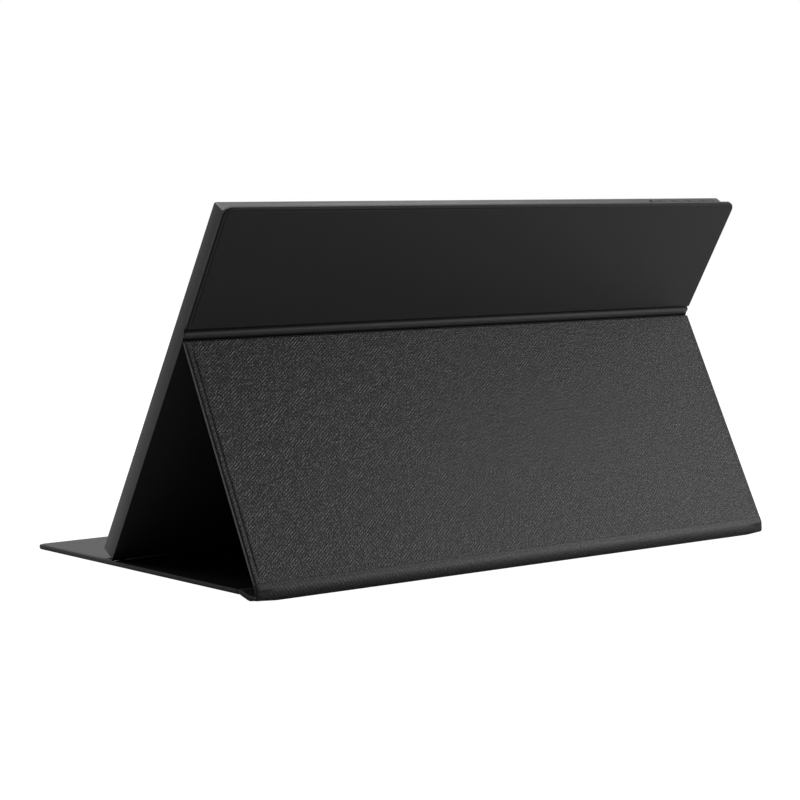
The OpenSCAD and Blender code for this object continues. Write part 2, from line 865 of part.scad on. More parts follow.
module spine_band(low, high, y0) {
    rise = spine_rise;
    across(cover_w)
        polygon([[y0, low - roll_r], [-spine_flat, low - roll_r], [spine_end, low - roll_r + rise],
            [spine_end, high - roll_r + rise], [-spine_flat, high - roll_r], [y0, high - roll_r]]);
}

module spine_skin() {
    color([0.15, 0.15, 0.155]) in_spine() {
        translate([-cover_w / 2, 0, 0])
            rotate([0, 90, 0])
                cylinder(h = cover_w, r = roll_r, $fn = 64);
        spine_band(0, skin_t, 0);
    }
}

module spine_board() {
    color([0.55, 0.5, 0.42]) in_spine()
        mid_box(cover_w - 2 * rim_w, -spine_flat, spine_flat - roll_clear_r, skin_t - roll_r,
            board_layer_t);
}

module spine_lining() {
    low = skin_t + board_layer_t;
    color([0.3, 0.3, 0.31]) in_spine()
        union() {
            spine_band(low, panel_t, -roll_clear_r);
            across(cover_w - 2 * rim_w)
                polygon([[-spine_flat, skin_t - roll_r], [spine_end, skin_t - roll_r + spine_rise],
                    [spine_end, panel_t - roll_r + spine_rise - EPS], [-spine_flat, panel_t - roll_r - EPS]]);
        }
}

// Cover: front flap under the foot, hinged at the spine

module flap_skin() {
    body = flap_len - half_gap;
    color([0.16, 0.16, 0.165]) in_flap()
        difference() {
            end_plate(cover_w, -half_gap, body, 0, panel_t, cover_corner_r, -1);
            end_plate(cover_w - 2 * rim_w, -half_gap - rim_w, body - 2 * rim_w, skin_t, panel_t,
                cover_corner_r - rim_w, -1);
        }
}

module flap_board() {
    body = flap_len - half_gap;
    color([0.55, 0.5, 0.42]) in_flap()
        difference() {
            end_plate(cover_w - 2 * rim_w, -half_gap - rim_w, body - 2 * rim_w, skin_t,
                board_layer_t, cover_corner_r - rim_w, -1);
            magnet_row(0, magnet_h - flap_len, skin_t + magnet_skin, magnet_t, magnet_room);
        }
}

module flap_lining() {
    body = flap_len - half_gap;
    color([0.42, 0.42, 0.43]) in_flap()
        difference() {
            end_plate(cover_w - 2 * rim_w, -half_gap - rim_w, body - 2 * rim_w,
                panel_t - lining_t, lining_t, cover_corner_r - rim_w, -1);
            mid_box(slab_w, groove_front_y, groove_rear_y - groove_front_y,
                panel_t - lining_t - 1, lining_t + 2);
        }
}

module flap_magnets() {
    color([0.7, 0.7, 0.72]) in_flap()
        magnet_row(0, magnet_h - flap_len, skin_t + magnet_skin, magnet_t);
}

module grip_strip() {
    side_gap = 0.2;
    color([0.2, 0.2, 0.21]) in_flap()
        mid_box(slab_w - 2 * side_gap, groove_front_y + side_gap,
            groove_rear_y - groove_front_y - 2 * side_gap, panel_t - lining_t, grip_t);
}

rear_housing();
front_bezel();
bezel_gasket();
screen_glass();
diffuser_films();
light_guide();
reflector_sheet();
lamp_strip();
backlight_tray();
driver_board();
board_chips();
board_screws();
power_port();
data_port();
video_port();
headphone_jack();
panel_board();
display_ribbon();
speaker_left();
speaker_right();
speaker_leads();
key_board();
key_switches();
key_ribbon();
key_strip();
power_key();
menu_key();
level_rocker();
catch_plates();
upper_skin();
upper_board();
upper_lining();
upper_magnets();
crease_strip();
stand_skin();
stand_board();
stand_lining();
spine_skin();
spine_board();
spine_lining();
flap_skin();
flap_board();
flap_lining();
flap_magnets();
grip_strip();
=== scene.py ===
import json
import math

import bmesh
import bpy
import numpy as np
from mathutils import Matrix, Vector


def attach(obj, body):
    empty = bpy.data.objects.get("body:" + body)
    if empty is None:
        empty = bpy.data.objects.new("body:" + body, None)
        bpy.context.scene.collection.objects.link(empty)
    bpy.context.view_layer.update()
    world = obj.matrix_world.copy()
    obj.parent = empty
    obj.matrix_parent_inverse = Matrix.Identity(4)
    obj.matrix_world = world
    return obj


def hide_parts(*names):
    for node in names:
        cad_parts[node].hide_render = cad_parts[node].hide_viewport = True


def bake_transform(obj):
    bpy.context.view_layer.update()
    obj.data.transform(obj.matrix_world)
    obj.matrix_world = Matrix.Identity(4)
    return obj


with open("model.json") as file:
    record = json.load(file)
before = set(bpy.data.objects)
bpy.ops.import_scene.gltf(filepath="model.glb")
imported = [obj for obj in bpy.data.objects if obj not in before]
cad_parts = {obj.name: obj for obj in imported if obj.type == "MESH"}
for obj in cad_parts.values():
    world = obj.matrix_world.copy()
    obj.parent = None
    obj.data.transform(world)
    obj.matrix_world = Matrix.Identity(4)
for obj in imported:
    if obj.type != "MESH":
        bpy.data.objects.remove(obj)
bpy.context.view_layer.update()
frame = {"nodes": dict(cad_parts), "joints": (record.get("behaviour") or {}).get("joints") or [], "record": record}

mm = 0.001

# Places taken from the frame: joint axes, the slab's lean and the panels' directions

joints = {j["name"]: j for j in frame["joints"]}
foldAxis = np.array(joints["stand_fold"]["pos_m"])
rollAxis = np.array(joints["spine_fold"]["pos_m"])
flapAxis = np.array(joints["flap_fold"]["pos_m"])
rollRadius = rollAxis[2]


def nodePoints(node):
    # All points of a CAD node as rows of x, y, z
    mesh = frame["nodes"][node].data
    flat = np.empty(len(mesh.vertices) * 3)
    mesh.vertices.foreach_get("co", flat)
    return flat.reshape(-1, 3)


class Plane:
    # A local frame: origin, direction along the panel, and direction out of its outer face
    def __init__(self, origin, along, out):
        self.origin = np.array([0, origin[1], origin[2]])
        self.along = np.array(along) / np.linalg.norm(along)
        self.out = np.array(out) / np.linalg.norm(out)

    def at(self, x, s, h):
        # The points x across, s along and h out of the face
        x, s, h = (v[..., None] for v in np.broadcast_arrays(x, s, h))
        return self.origin + x * np.array([1.0, 0, 0]) + s * self.along + h * self.out

    def reach(self, node):
        # Highest x, s and h of a CAD node in this frame
        p = nodePoints(node) - self.origin
        return np.stack([p[:, 0], p @ self.along, p @ self.out], 1).max(0)


def acrossOf(v):
    # The direction v turned a quarter turn in the Y-Z plane
    return np.array([0, v[2], -v[1]])


slabUp = -np.array(joints["power_press"]["axis"])
housingPoints = nodePoints("rear_housing")
footPoint = housingPoints[housingPoints[:, 2].argmin()]
rearFace = Plane(footPoint, slabUp, acrossOf(slabUp))
panelT = rearFace.reach("upper_skin")[2]
upperPlane = Plane(footPoint + panelT * rearFace.out, slabUp, rearFace.out)

toRoll = rollAxis - foldAxis
standLen = math.sqrt(toRoll @ toRoll - rollRadius ** 2)
standAngle = math.atan2(-toRoll[2], toRoll[1]) - math.atan2(rollRadius, standLen)
standPlane = Plane(foldAxis, [0, math.cos(standAngle), -math.sin(standAngle)],
                   [0, math.sin(standAngle), math.cos(standAngle)])

flapPoints = nodePoints("flap_skin")
flapFront = flapPoints[flapPoints[:, 2].argmin()]
flapDirection = np.array([0, flapFront[1] - flapAxis[1], flapFront[2] - flapAxis[2]])
flapPlane = Plane(flapAxis, flapDirection, -acrossOf(flapDirection))

foldS = float((foldAxis - upperPlane.origin) @ upperPlane.along)
footOnFlap = float((footPoint - flapPlane.origin) @ flapPlane.along)
print("frame read: stand", round(standLen, 4), "panel", round(float(panelT), 4), "fold at", round(foldS, 4))

# Mesh helpers

weld = 2e-6      # points nearer than this are one
sliver = 1e-7    # edges shorter than this are taken out


def newObject(name, data):
    # An object with this data, put in the scene
    obj = bpy.data.objects.new(name, data)
    bpy.context.scene.collection.objects.link(obj)
    return obj


def makeObject(name, points, faces, uv, rim, inside=None):
    # Puts arrays into a mesh, welds doubled points and turns the faces outwards. rim is kept as a
    # value on the points; a face with most of its corners inside takes the second material.
    mesh = bpy.data.meshes.new(name)
    mesh.from_pydata(points.reshape(-1, 3).tolist(), [], [f for part in faces for f in part.tolist()])
    corners = np.empty(len(mesh.loops), np.int64)
    mesh.loops.foreach_get("vertex_index", corners)
    layer = mesh.uv_layers.new(name="along")
    layer.data.foreach_set("uv", uv.reshape(-1, 2)[corners].astype(np.float32).ravel())
    layer = mesh.attributes.new("rim", "FLOAT", "POINT")
    layer.data.foreach_set("value", rim.ravel().astype(np.float32))
    if inside is not None:
        starts = np.empty(len(mesh.polygons), np.int64)
        mesh.polygons.foreach_get("loop_start", starts)
        share = np.add.reduceat(inside.ravel()[corners].astype(float), starts) / np.diff(
            np.append(starts, len(corners)))
        mesh.polygons.foreach_set("material_index", (share > 0.6).astype(np.int32))
    bm = bmesh.new()
    bm.from_mesh(mesh)
    bmesh.ops.remove_doubles(bm, verts=bm.verts, dist=weld)
    bmesh.ops.dissolve_degenerate(bm, edges=bm.edges, dist=sliver)
    bmesh.ops.recalc_face_normals(bm, faces=bm.faces)
    for f in bm.faces:
        f.smooth = True
    bm.to_mesh(mesh)
    bm.free()
    return newObject(name, mesh)


def gridFaces(rows, cols, start=0, closedCols=False):
    # Quads of a grid whose points are stored row by row
    r, c = np.meshgrid(np.arange(rows - 1), np.arange(cols if closedCols else cols - 1), indexing="ij")
    c2 = (c + 1) % cols
    quads = np.stack([r * cols + c, r * cols + c2, (r + 1) * cols + c2, (r + 1) * cols + c], -1)
    return quads.reshape(-1, 4) + start


def smoothStep(x, low, high):
    # 0 below low, 1 above high, t t (3 - 2 t) between
    t = np.clip((x - low) / (high - low), 0, 1)
    return t * t * (3 - 2 * t)


def lengthAlong(points):
    # The length of a chain of points up to each of them
    return np.concatenate([[0], np.cumsum(np.linalg.norm(np.diff(points, axis=0), axis=1))])


def spread(count, extra=()):
    # Even steps from 0 to 1 with extra steps added where detail sits
    return np.unique(np.round(np.concatenate([np.linspace(0, 1, count), np.array(extra, float)]), 6))


arcSteps = 7    # points on a round corner between its two ends


def roundedLoop(half, s0, s1, rLow, rHigh, inset, tx, ts):
    # One closed loop: a rectangle with round corners, drawn in by inset; inset below 0 grows it
    arc = np.linspace(0, math.pi / 2, arcSteps + 2)[1:-1]
    lowIn, highIn = max(rLow, inset), max(rHigh, inset)
    lowR, highR = max(rLow - inset, 0), max(rHigh - inset, 0)
    sA, sB = s0 + lowIn, s1 - highIn
    xA, xB = half - lowIn, half - highIn
    bottom = np.stack([-xA + 2 * xA * tx, np.full(len(tx), s0 + inset)], -1)
    rightArc = np.stack([xA + lowR * np.sin(arc), sA - lowR * np.cos(arc)], -1)
    right = np.stack([np.full(len(ts), half - inset), sA + (sB - sA) * ts], -1)
    topArc = np.stack([xB + highR * np.cos(arc), sB + highR * np.sin(arc)], -1)
    top = np.stack([xB - 2 * xB * tx, np.full(len(tx), s1 - inset)], -1)
    leftArc = np.stack([-xB - highR * np.sin(arc), sB + highR * np.cos(arc)], -1)
    left = np.stack([np.full(len(ts), -half + inset), sB - (sB - sA) * ts], -1)
    lowArc = np.stack([-xA - lowR * np.cos(arc), sA - lowR * np.sin(arc)], -1)
    return np.concatenate([bottom, rightArc, right, topArc, top, leftArc, left, lowArc])


def slabShell(name, plane, half, s0, s1, rLow, rHigh, profile, tx, ts, lift=None, rimOf=None):
    # A closed panel: loops of a rounded rectangle, each with the inset and height that the profile
    # gives, from the middle of one face round the edge to the middle of the other; both middles are
    # filled with a grid. lift(x, s, h, inset) adds a small height; rimOf(x, s, h, inset) is 1 on a
    # rim with a painted highlight, -1 in a dark line of painted shade and 0 elsewhere.
    profile = np.array(profile, float)
    run = lengthAlong(profile)
    flat, uv, rim, depths = [], [], [], []
    for (inset, h), along in zip(profile, run):
        loop = roundedLoop(half, s0, s1, rLow, rHigh, inset, tx, ts)
        unrolled = roundedLoop(half, s0, s1, rLow, rHigh, profile[0][0] - along, tx, ts)
        flat.append(np.column_stack([loop, np.full(len(loop), h)]))
        uv.append(unrolled)
        rim.append(rimOf(loop[:, 0], loop[:, 1], h, inset) if rimOf else np.zeros(len(loop)))
        depths.append(np.full(len(loop), inset))
    flat = np.stack(flat)
    rows, cols = flat.shape[:2]
    faces = [gridFaces(rows, cols, closedCols=True)]
    points, start = [flat.reshape(-1, 3)], rows * cols
    uvs, rims, insets = [np.stack(uv).reshape(-1, 2)], [np.stack(rim).ravel()], [np.stack(depths).ravel()]
    for inset, h in (profile[0], profile[-1]):
        lowIn, highIn = max(rLow, inset), max(rHigh, inset)
        s, x = np.meshgrid(s0 + lowIn + (s1 - highIn - s0 - lowIn) * ts, tx, indexing="ij")
        share = (s - s0 - lowIn) / (s1 - highIn - s0 - lowIn)
        reach = (half - lowIn) * (1 - share) + (half - highIn) * share
        xs = reach * (2 * x - 1)
        points.append(np.stack([xs, s, np.full(s.shape, h)], -1).reshape(-1, 3))
        uvs.append(np.stack([xs, s], -1).reshape(-1, 2))
        rims.append(np.zeros(s.size))
        insets.append(np.full(s.size, inset))
        faces.append(gridFaces(len(ts), len(tx), start))
        start += s.size
    local = np.concatenate(points)
    if lift is not None:
        local[:, 2] += lift(local[:, 0], local[:, 1], local[:, 2], np.concatenate(insets))
    return makeObject(name, plane.at(local[:, 0], local[:, 1], local[:, 2]), faces,
                      np.concatenate(uvs), np.concatenate(rims))


def smoothPath(points, count):
    # A Catmull-Rom curve through the points, in equal steps of its own length
    p = np.array(points, float)
    p = np.vstack([2 * p[0] - p[1], p, 2 * p[-1] - p[-2]])
    t = np.linspace(0, 1, 24, endpoint=False)[:, None]
    parts = []
    for a, b, c, d in zip(p[:-3], p[1:-2], p[2:-1], p[3:]):
        parts.append(0.5 * (2 * b + (c - a) * t + (2 * a - 5 * b + 4 * c - d) * t ** 2
                            + (3 * b - a - 3 * c + d) * t ** 3))
    fine = np.vstack(parts + [p[-2:-1]])
    run = lengthAlong(fine)
    even = np.linspace(0, run[-1], count)
    return np.stack([np.interp(even, run, fine[:, k]) for k in range(fine.shape[1])], -1)


def stripRows(half, endRound, columns):
    # Places along X, close together at both ends, the depth d of each into its rounded end from 0 to 1,
    # and the share sqrt(1 - d^2) of the full thickness there
    cap = 1 - np.sin(np.linspace(0, math.pi / 2, 7))
    x = np.unique(np.round(np.concatenate([
        -half + endRound * cap, np.linspace(-half + endRound, half - endRound, columns),
        half - endRound * cap]), 7))
    depth = np.clip((np.abs(x) - (half - endRound)) / endRound, 0, 1)
    return x, depth, np.sqrt(np.maximum(1 - depth ** 2, 0))


def closedStrip(name, x, ring, run, rim, inside=None):
    # The skin of a closed ring of points (y, z) carried along x, with both ends filled; run is the
    # length along one half of the ring, and the UVs are x and that length
    rows, cols = ring.shape[:2]
    points = np.concatenate([np.broadcast_to(x[:, None, None], (rows, cols, 1)), ring], -1)
    uv = np.stack(np.broadcast_arrays(x[:, None], np.concatenate([run, run[::-1]])[None]), -1)
    ends = np.stack([np.arange(cols), (rows - 1) * cols + np.arange(cols)])
    return makeObject(name, points, [gridFaces(rows, cols, closedCols=True), ends], uv, rim, inside)


def ribbon(name, path, thickness, half, endRound, columns=120, shade=None):
    # A bent strip: a path in the Y-Z plane thickened to both sides and carried along X. Its thickness
    # dies away on a quarter circle at both ends, so the shell closes. shade gives the rim value of
    # each point of the path.
    tangent = np.gradient(path, axis=0)
    tangent /= np.linalg.norm(tangent, axis=1)[:, None]
    normal = np.stack([-tangent[:, 1], tangent[:, 0]], -1)
    run = lengthAlong(path)
    x, depth, thin = stripRows(half, endRound, columns)
    taper = np.minimum(1, np.minimum(run, run[-1] - run) / (0.5 * thickness) + 0.05)
    side = 0.5 * thickness * taper[None, :, None] * thin[:, None, None] * normal[None]
    ring = np.concatenate([path[None] + side, (path[None] - side)[:, ::-1]], axis=1)
    along = np.zeros(2 * len(path)) if shade is None else np.concatenate([shade, shade[::-1]])
    return closedStrip(name, x, ring, run, np.broadcast_to(along[None], ring.shape[:2]))


endDark = -0.75    # rim value on the ends of a folded band: painted shade


def foldedBand(name, outer, inner, half, endRound, columns=120, shape=None):
    # A solid bent strip between an outer and an inner path of equal count, carried along X. Every row
    # is mid + k (path - mid) with mid halfway between the paths; k falls from 1 to 0 on a quarter
    # circle at both ends, so that the skin closes over them. The ends are darkened with painted shade, and
    # the inner half of the ring takes the second material.
    mid = (outer + inner) / 2
    x, depth, k = stripRows(half, endRound, columns)
    k = k[:, None, None]
    ring = np.concatenate([mid + k * (outer - mid), (mid + k * (inner - mid))[:, ::-1]], axis=1)
    if shape is not None:
        ring = shape(x[:, None], ring)
    size = ring.shape[:2]
    inside = np.arange(size[1]) >= size[1] / 2
    return closedStrip(name, x, ring, lengthAlong(outer), np.broadcast_to(endDark * depth[:, None], size),
                       np.broadcast_to(inside, size))


def softCopy(node, body, width, segments=3, angle=35):
    # A CAD node's own mesh, welded, with its sharp edges rounded off
    source = frame["nodes"][node]
    mesh = source.data.copy()
    mesh.materials.clear()
    bm = bmesh.new()
    bm.from_mesh(mesh)
    bmesh.ops.remove_doubles(bm, verts=bm.verts, dist=weld)
    bmesh.ops.dissolve_limit(bm, angle_limit=math.radians(0.5), verts=bm.verts, edges=bm.edges)
    for f in bm.faces:
        f.smooth = True
    bm.to_mesh(mesh)
    bm.free()
    obj = newObject(node + "_rounded", mesh)
    mod = obj.modifiers.new("round", "BEVEL")
    mod.width = width
    mod.segments = segments
    mod.limit_method = "ANGLE"
    mod.angle_limit = math.radians(angle)
    mod.harden_normals = True
    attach(obj, body)
    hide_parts(node)
    return obj


# Shared shader groups


def newGroup(name, inputs, outputs):
    # A shader group with named sockets, and its two end nodes
    group = bpy.data.node_groups.new(name, "ShaderNodeTree")
    for label, kind, value in inputs:
        socket = group.interface.new_socket(name=label, in_out="INPUT", socket_type="NodeSocket" + kind)
        if value is not None:
            socket.default_value = value
    for label, kind in outputs:
        group.interface.new_socket(name=label, in_out="OUTPUT", socket_type="NodeSocket" + kind)
    return group, group.nodes.new("NodeGroupInput"), group.nodes.new("NodeGroupOutput")


def link(tree, source, target):
    # A socket is linked; a number or a colour is set on the input itself
    if isinstance(source, bpy.types.NodeSocket):
        tree.links.new(source, target)
    else:
        target.default_value = source


def math2(tree, operation, a, b, clamp=False):
    # One Math node; a and b are sockets or numbers
    node = tree.nodes.new("ShaderNodeMath")
    node.operation = operation
    node.use_clamp = clamp
    link(tree, a, node.inputs[0])
    link(tree, b, node.inputs[1])
    return node.outputs[0]


def noise(tree, vector, scale, detail=3.0, rough=0.5):
    # One Noise Texture; its value is about 0.5 on average
    node = tree.nodes.new("ShaderNodeTexNoise")
    node.inputs["Detail"].default_value = detail
    node.inputs["Roughness"].default_value = rough
    link(tree, scale, node.inputs["Scale"])
    link(tree, vector, node.inputs["Vector"])
    return node.outputs["Fac"]


def mixColor(tree, mask, a, b):
    # a where the mask is 0, b where it is 1
    node = tree.nodes.new("ShaderNodeMix")
    node.data_type = "RGBA"
    for label, value in (("Factor", mask), ("A", a), ("B", b)):
        link(tree, value, node.inputs[label])
    return node.outputs["Result"]


def shade(tree, color, factor, amount):
    # The colour times 1 + amount (factor - 0.5)
    bright = math2(tree, "ADD", math2(tree, "MULTIPLY", math2(tree, "SUBTRACT", factor, 0.5), amount), 1.0)
    node = tree.nodes.new("ShaderNodeVectorMath")
    node.operation = "SCALE"
    link(tree, color, node.inputs[0])
    link(tree, bright, node.inputs["Scale"])
    return node.outputs["Vector"]


patternOutputs = [("Height", "Float"), ("Tone", "Float")]
hatchLook = dict(
    wander=420.0,       # scale of the noise that bends the ridges
    bend=7.0,           # how far it bends them, for each unit of Wander
    patches=190.0,      # scale of the areas where one set outweighs the other
    patchy=2.6,
    sets=((1, 700.0, "First Slope", 1.0),    # sign, noise scale, slope and height of each set
          (-1, 610.0, "Second Slope", 0.8)),
    broken=4.5,         # contrast of the noise that breaks the ridges up
    kept=0.45,          # ridge height where that noise is even
    sharp=1.2,
    fine=0.25,          # height of the fine grain over it all
    fineScale=3500.0)


def makeCrossHatch():
    # Two sets of slanted ridges, the higher one showing, broken up by noise. Each is a sine of
    # u + sign slope v, lifted to 0..1, times its own strength.
    look = hatchLook
    tree, gin, gout = newGroup("crossHatch", [
        ("Vector", "Vector", None), ("Pitch", "Float", 0.0015),
        ("First Slope", "Float", 0.65), ("Second Slope", "Float", 1.35),
        ("Wander", "Float", 0.35)],
        patternOutputs)
    place = gin.outputs["Vector"]
    split = tree.nodes.new("ShaderNodeSeparateXYZ")
    link(tree, place, split.inputs[0])
    wobble = math2(tree, "MULTIPLY", math2(
        tree, "SUBTRACT", noise(tree, place, look["wander"]), 0.5), gin.outputs["Wander"])
    turns = math2(tree, "DIVIDE", 2 * math.pi * 0.7071, gin.outputs["Pitch"])
    u = math2(tree, "MULTIPLY", split.outputs["X"], turns)
    v = math2(tree, "MULTIPLY", split.outputs["Y"], turns)
    ridges = []
    patches = noise(tree, place, look["patches"], 2.0, 0.6)
    for sign, size, slope, share in look["sets"]:
        across = math2(tree, "MULTIPLY", math2(tree, "MULTIPLY", v, gin.outputs[slope]), sign)
        bent = math2(tree, "MULTIPLY", wobble, look["bend"] * sign)
        phase = math2(tree, "ADD", math2(tree, "ADD", u, across), bent)
        wave = math2(tree, "ADD", math2(tree, "MULTIPLY", math2(tree, "SINE", phase, 0), 0.5), 0.5)
        broken = noise(tree, place, size, 2.0)
        patchy = math2(tree, "MULTIPLY", math2(tree, "SUBTRACT", patches, 0.5), look["patchy"] * sign)
        uneven = math2(tree, "MULTIPLY", math2(tree, "SUBTRACT", broken, 0.5), look["broken"])
        strength = math2(tree, "ADD", math2(tree, "ADD", uneven, patchy), look["kept"], clamp=True)
        ridge = math2(tree, "MULTIPLY", math2(tree, "POWER", wave, look["sharp"]), strength)
        ridges.append(math2(tree, "MULTIPLY", ridge, share))
    first, second = ridges
    height = math2(tree, "MAXIMUM", first, second)
    fine = math2(tree, "MULTIPLY", noise(tree, place, look["fineScale"], 2.0), look["fine"])
    link(tree, math2(tree, "ADD", height, fine), gout.inputs["Height"])
    link(tree, height, gout.inputs["Tone"])
    return tree


pebbleLook = dict(smooth=0.6, domes=0.6, soft=0.6, softScale=700.0)


def makePebble():
    # Small rounded cells with fine creases between them
    tree, gin, gout = newGroup("pebbleGrain", [
        ("Vector", "Vector", None), ("Scale", "Float", 1400.0)],
        patternOutputs)
    cells = tree.nodes.new("ShaderNodeTexVoronoi")
    cells.feature = "SMOOTH_F1"
    cells.inputs["Smoothness"].default_value = pebbleLook["smooth"]
    link(tree, gin.outputs["Vector"], cells.inputs["Vector"])
    link(tree, gin.outputs["Scale"], cells.inputs["Scale"])
    dome = math2(tree, "SUBTRACT", 1.0, cells.outputs["Distance"], clamp=True)
    soft = noise(tree, gin.outputs["Vector"], pebbleLook["softScale"], 4.0, 0.6)
    height = math2(tree, "ADD", math2(tree, "MULTIPLY", dome, pebbleLook["domes"]),
                   math2(tree, "MULTIPLY", soft, pebbleLook["soft"]))
    link(tree, height, gout.inputs["Height"])
    link(tree, soft, gout.inputs["Tone"])
    return tree


pileLook = dict(stretch=(1.0, 0.45, 1.0), napScale=45.0, fibres=0.6, nap=0.4)


def makePile():
    # Short brushed fibres: stretched fine noise over a slow drift of the nap
    tree, gin, gout = newGroup("brushedPile", [
        ("Vector", "Vector", None), ("Scale", "Float", 2600.0)],
        patternOutputs)
    stretch = tree.nodes.new("ShaderNodeMapping")
    stretch.inputs["Scale"].default_value = pileLook["stretch"]
    link(tree, gin.outputs["Vector"], stretch.inputs["Vector"])
    fibres = noise(tree, stretch.outputs["Vector"], gin.outputs["Scale"], 4.0, 0.7)
    nap = noise(tree, gin.outputs["Vector"], pileLook["napScale"], 3.0)
    link(tree, fibres, gout.inputs["Height"])
    tone = math2(tree, "ADD", math2(tree, "MULTIPLY", fibres, pileLook["fibres"]),
                 math2(tree, "MULTIPLY", nap, pileLook["nap"]))
    link(tree, tone, gout.inputs["Tone"])
    return tree


cloudScale = 60.0


def makeMould():
    # The fine, even texture of blasted metal or moulded plastic, with a slow cloudiness
    tree, gin, gout = newGroup("fineSatin", [
        ("Vector", "Vector", None), ("Scale", "Float", 5000.0)],
        patternOutputs)
    link(tree, noise(tree, gin.outputs["Vector"], gin.outputs["Scale"], 2.0, 0.6), gout.inputs["Height"])
    link(tree, noise(tree, gin.outputs["Vector"], cloudScale, 4.0, 0.6), gout.inputs["Tone"])
    return tree


# Noise of the painted rim highlight, and the colour of the painted shade in dark lines
rimPaintLook = dict(scale=260.0, uneven=0.8, least=0.6, dark=(0.004, 0.004, 0.004, 1))


def makeRimPaint():
    # Lightens a colour unevenly where the rim is above 0, a painted highlight on turned edges and ridges, and
    # darkens it where the rim is below 0, painted shade in pressed lines, grooves and band ends and a dark line on
    # corners; the second output is the mask of the dark part
    tree, gin, gout = newGroup("paintedRimLightAndShade", [
        ("Vector", "Vector", None), ("Rim", "Float", 0.0),
        ("Color", "Color", (0.1, 0.1, 0.1, 1)), ("Rim Color", "Color", (0.2, 0.2, 0.2, 1)),
        ("Amount", "Float", 0.5)],
        [("Color", "Color"), ("Gap", "Float")])
    paintedShade = math2(tree, "MULTIPLY", gin.outputs["Rim"], -1.0, clamp=True)
    patchy = noise(tree, gin.outputs["Vector"], rimPaintLook["scale"], 4.0, 0.6)
    near = math2(tree, "MULTIPLY", gin.outputs["Rim"], 1.0, clamp=True)
    mask = math2(tree, "MULTIPLY", math2(tree, "MULTIPLY", near, gin.outputs["Amount"]),
                 math2(tree, "ADD", math2(tree, "MULTIPLY", patchy, rimPaintLook["uneven"]), rimPaintLook["least"]),
                 clamp=True)
    highlighted = mixColor(tree, mask, gin.outputs["Color"], gin.outputs["Rim Color"])
    link(tree, mixColor(tree, paintedShade, highlighted, rimPaintLook["dark"]), gout.inputs["Color"])
    link(tree, paintedShade, gout.inputs["Gap"])
    return tree


groups = {"hatch": makeCrossHatch(), "pebble": makePebble(), "pile": makePile(), "satin": makeMould()}
rimPaintGroup = makeRimPaint()
print("shader groups made:", sorted(groups))

# Materials: one dictionary a finish, on top of what its kind shares. color is linear; height is the
# relief in metres; grain is the hatch's pitch in metres or the other patterns' scale

smooth = dict(group="pebble", uv=True, color=(0.01, 0.01, 0.0102), roughSpan=0.1, tone=0.3)
hatched = dict(group="hatch", uv=True, grain=0.00157)
lining = dict(group="pile", uv=True, rough=0.95, roughSpan=0.05, height=0.00009, tone=0.5, grain=2600.0,
              specular=0.0)
satin = dict(group="satin", rough=0.5, roughSpan=0.1, height=0.000006, tone=0.2, grain=4200.0)
black = (0.012, 0.012, 0.0122)
finishes = {
    # rim is the colour of the painted highlight on turned edges and ridges
    "skinSmooth": dict(smooth, rough=0.5, height=0.00003, grain=1500.0, specular=0.078,
                       rim=(0.06, 0.06, 0.061), rimAmount=0.7),
    # The pit value of the hatched skins paints shade into the pattern's low parts
    "skinHatch": dict(hatched, color=(0.008, 0.008, 0.0082), rough=0.38, roughSpan=0.2, height=0.00018,
                      tone=1.7, specular=0.18, pitShade=0.75, rim=(0.055, 0.055, 0.056), rimAmount=0.9),
    "skinRolled": dict(hatched, color=(0.009, 0.009, 0.0092), rough=0.42, roughSpan=0.12, height=0.00005,
                       tone=0.9, specular=0.115, pitShade=0.5, rim=(0.05, 0.05, 0.051)),
    "skinFold": dict(smooth, rough=0.45, height=0.00002, grain=1700.0, specular=0.17,
                     rim=(0.03, 0.03, 0.0305)),
    # The lining's own pale grey in front of the foot groove, painted shade behind it and painted light on the bead
    "liningShadedBehindFoot": dict(lining, color=(0.138, 0.138, 0.14), behind=(0.007, 0.007, 0.0072),
                          bead=(0.85, 0.85, 0.85)),
    # The linings inside the stand: the lining painted black as the shade inside the stand
    "liningPaintedShade": dict(lining, color=black),
    "housingGrey": dict(satin, color=(0.024, 0.024, 0.0247), rough=0.4, roughSpan=0.14, height=0.000012,
                        tone=0.5, specular=0.22),
    # A darker copy of housingGrey: painted shade on the housing's rear
    "housingPaintedShade": dict(satin, color=black, rough=0.6, roughSpan=0.08, height=0.000008, tone=0.15,
                        specular=0.1),
    "bezelBlack": dict(satin, color=(0.012, 0.012, 0.013)),
    "screenCoat": dict(satin, color=(0.004, 0.0042, 0.005), rough=0.2, roughSpan=0.03, height=0.0000008,
                       tone=0.15, grain=9000.0, specular=0.3, coat=0.08),
    "keyBlack": dict(satin, color=black, tone=0.25, specular=0.25),
    "steel": dict(satin, color=(0.55, 0.56, 0.58), rough=0.32, roughSpan=0.16, height=0.000003,
                  grain=3000.0, metallic=1.0),
    "circuitGreen": dict(satin, color=(0.012, 0.09, 0.035), rough=0.35, height=0.00001, tone=0.5,
                         grain=1800.0),
    "filmWhite": dict(satin, color=(0.82, 0.83, 0.85), height=0.000003, tone=0.06, grain=2500.0),
    "filmAmber": dict(satin, color=(0.35, 0.17, 0.03), rough=0.3, tone=0.4, grain=900.0),
    "leadRed": dict(satin, color=(0.2, 0.015, 0.012), grain=2000.0),
    "coverBoard": dict(group="pile", color=(0.22, 0.18, 0.13), rough=0.9, roughSpan=0.05, height=0.00003,
                       tone=0.4, grain=1200.0),
    "rubberGrey": dict(satin, color=(0.16, 0.16, 0.163), rough=0.7, height=0.00001, tone=0.3,
                       grain=2600.0),
}


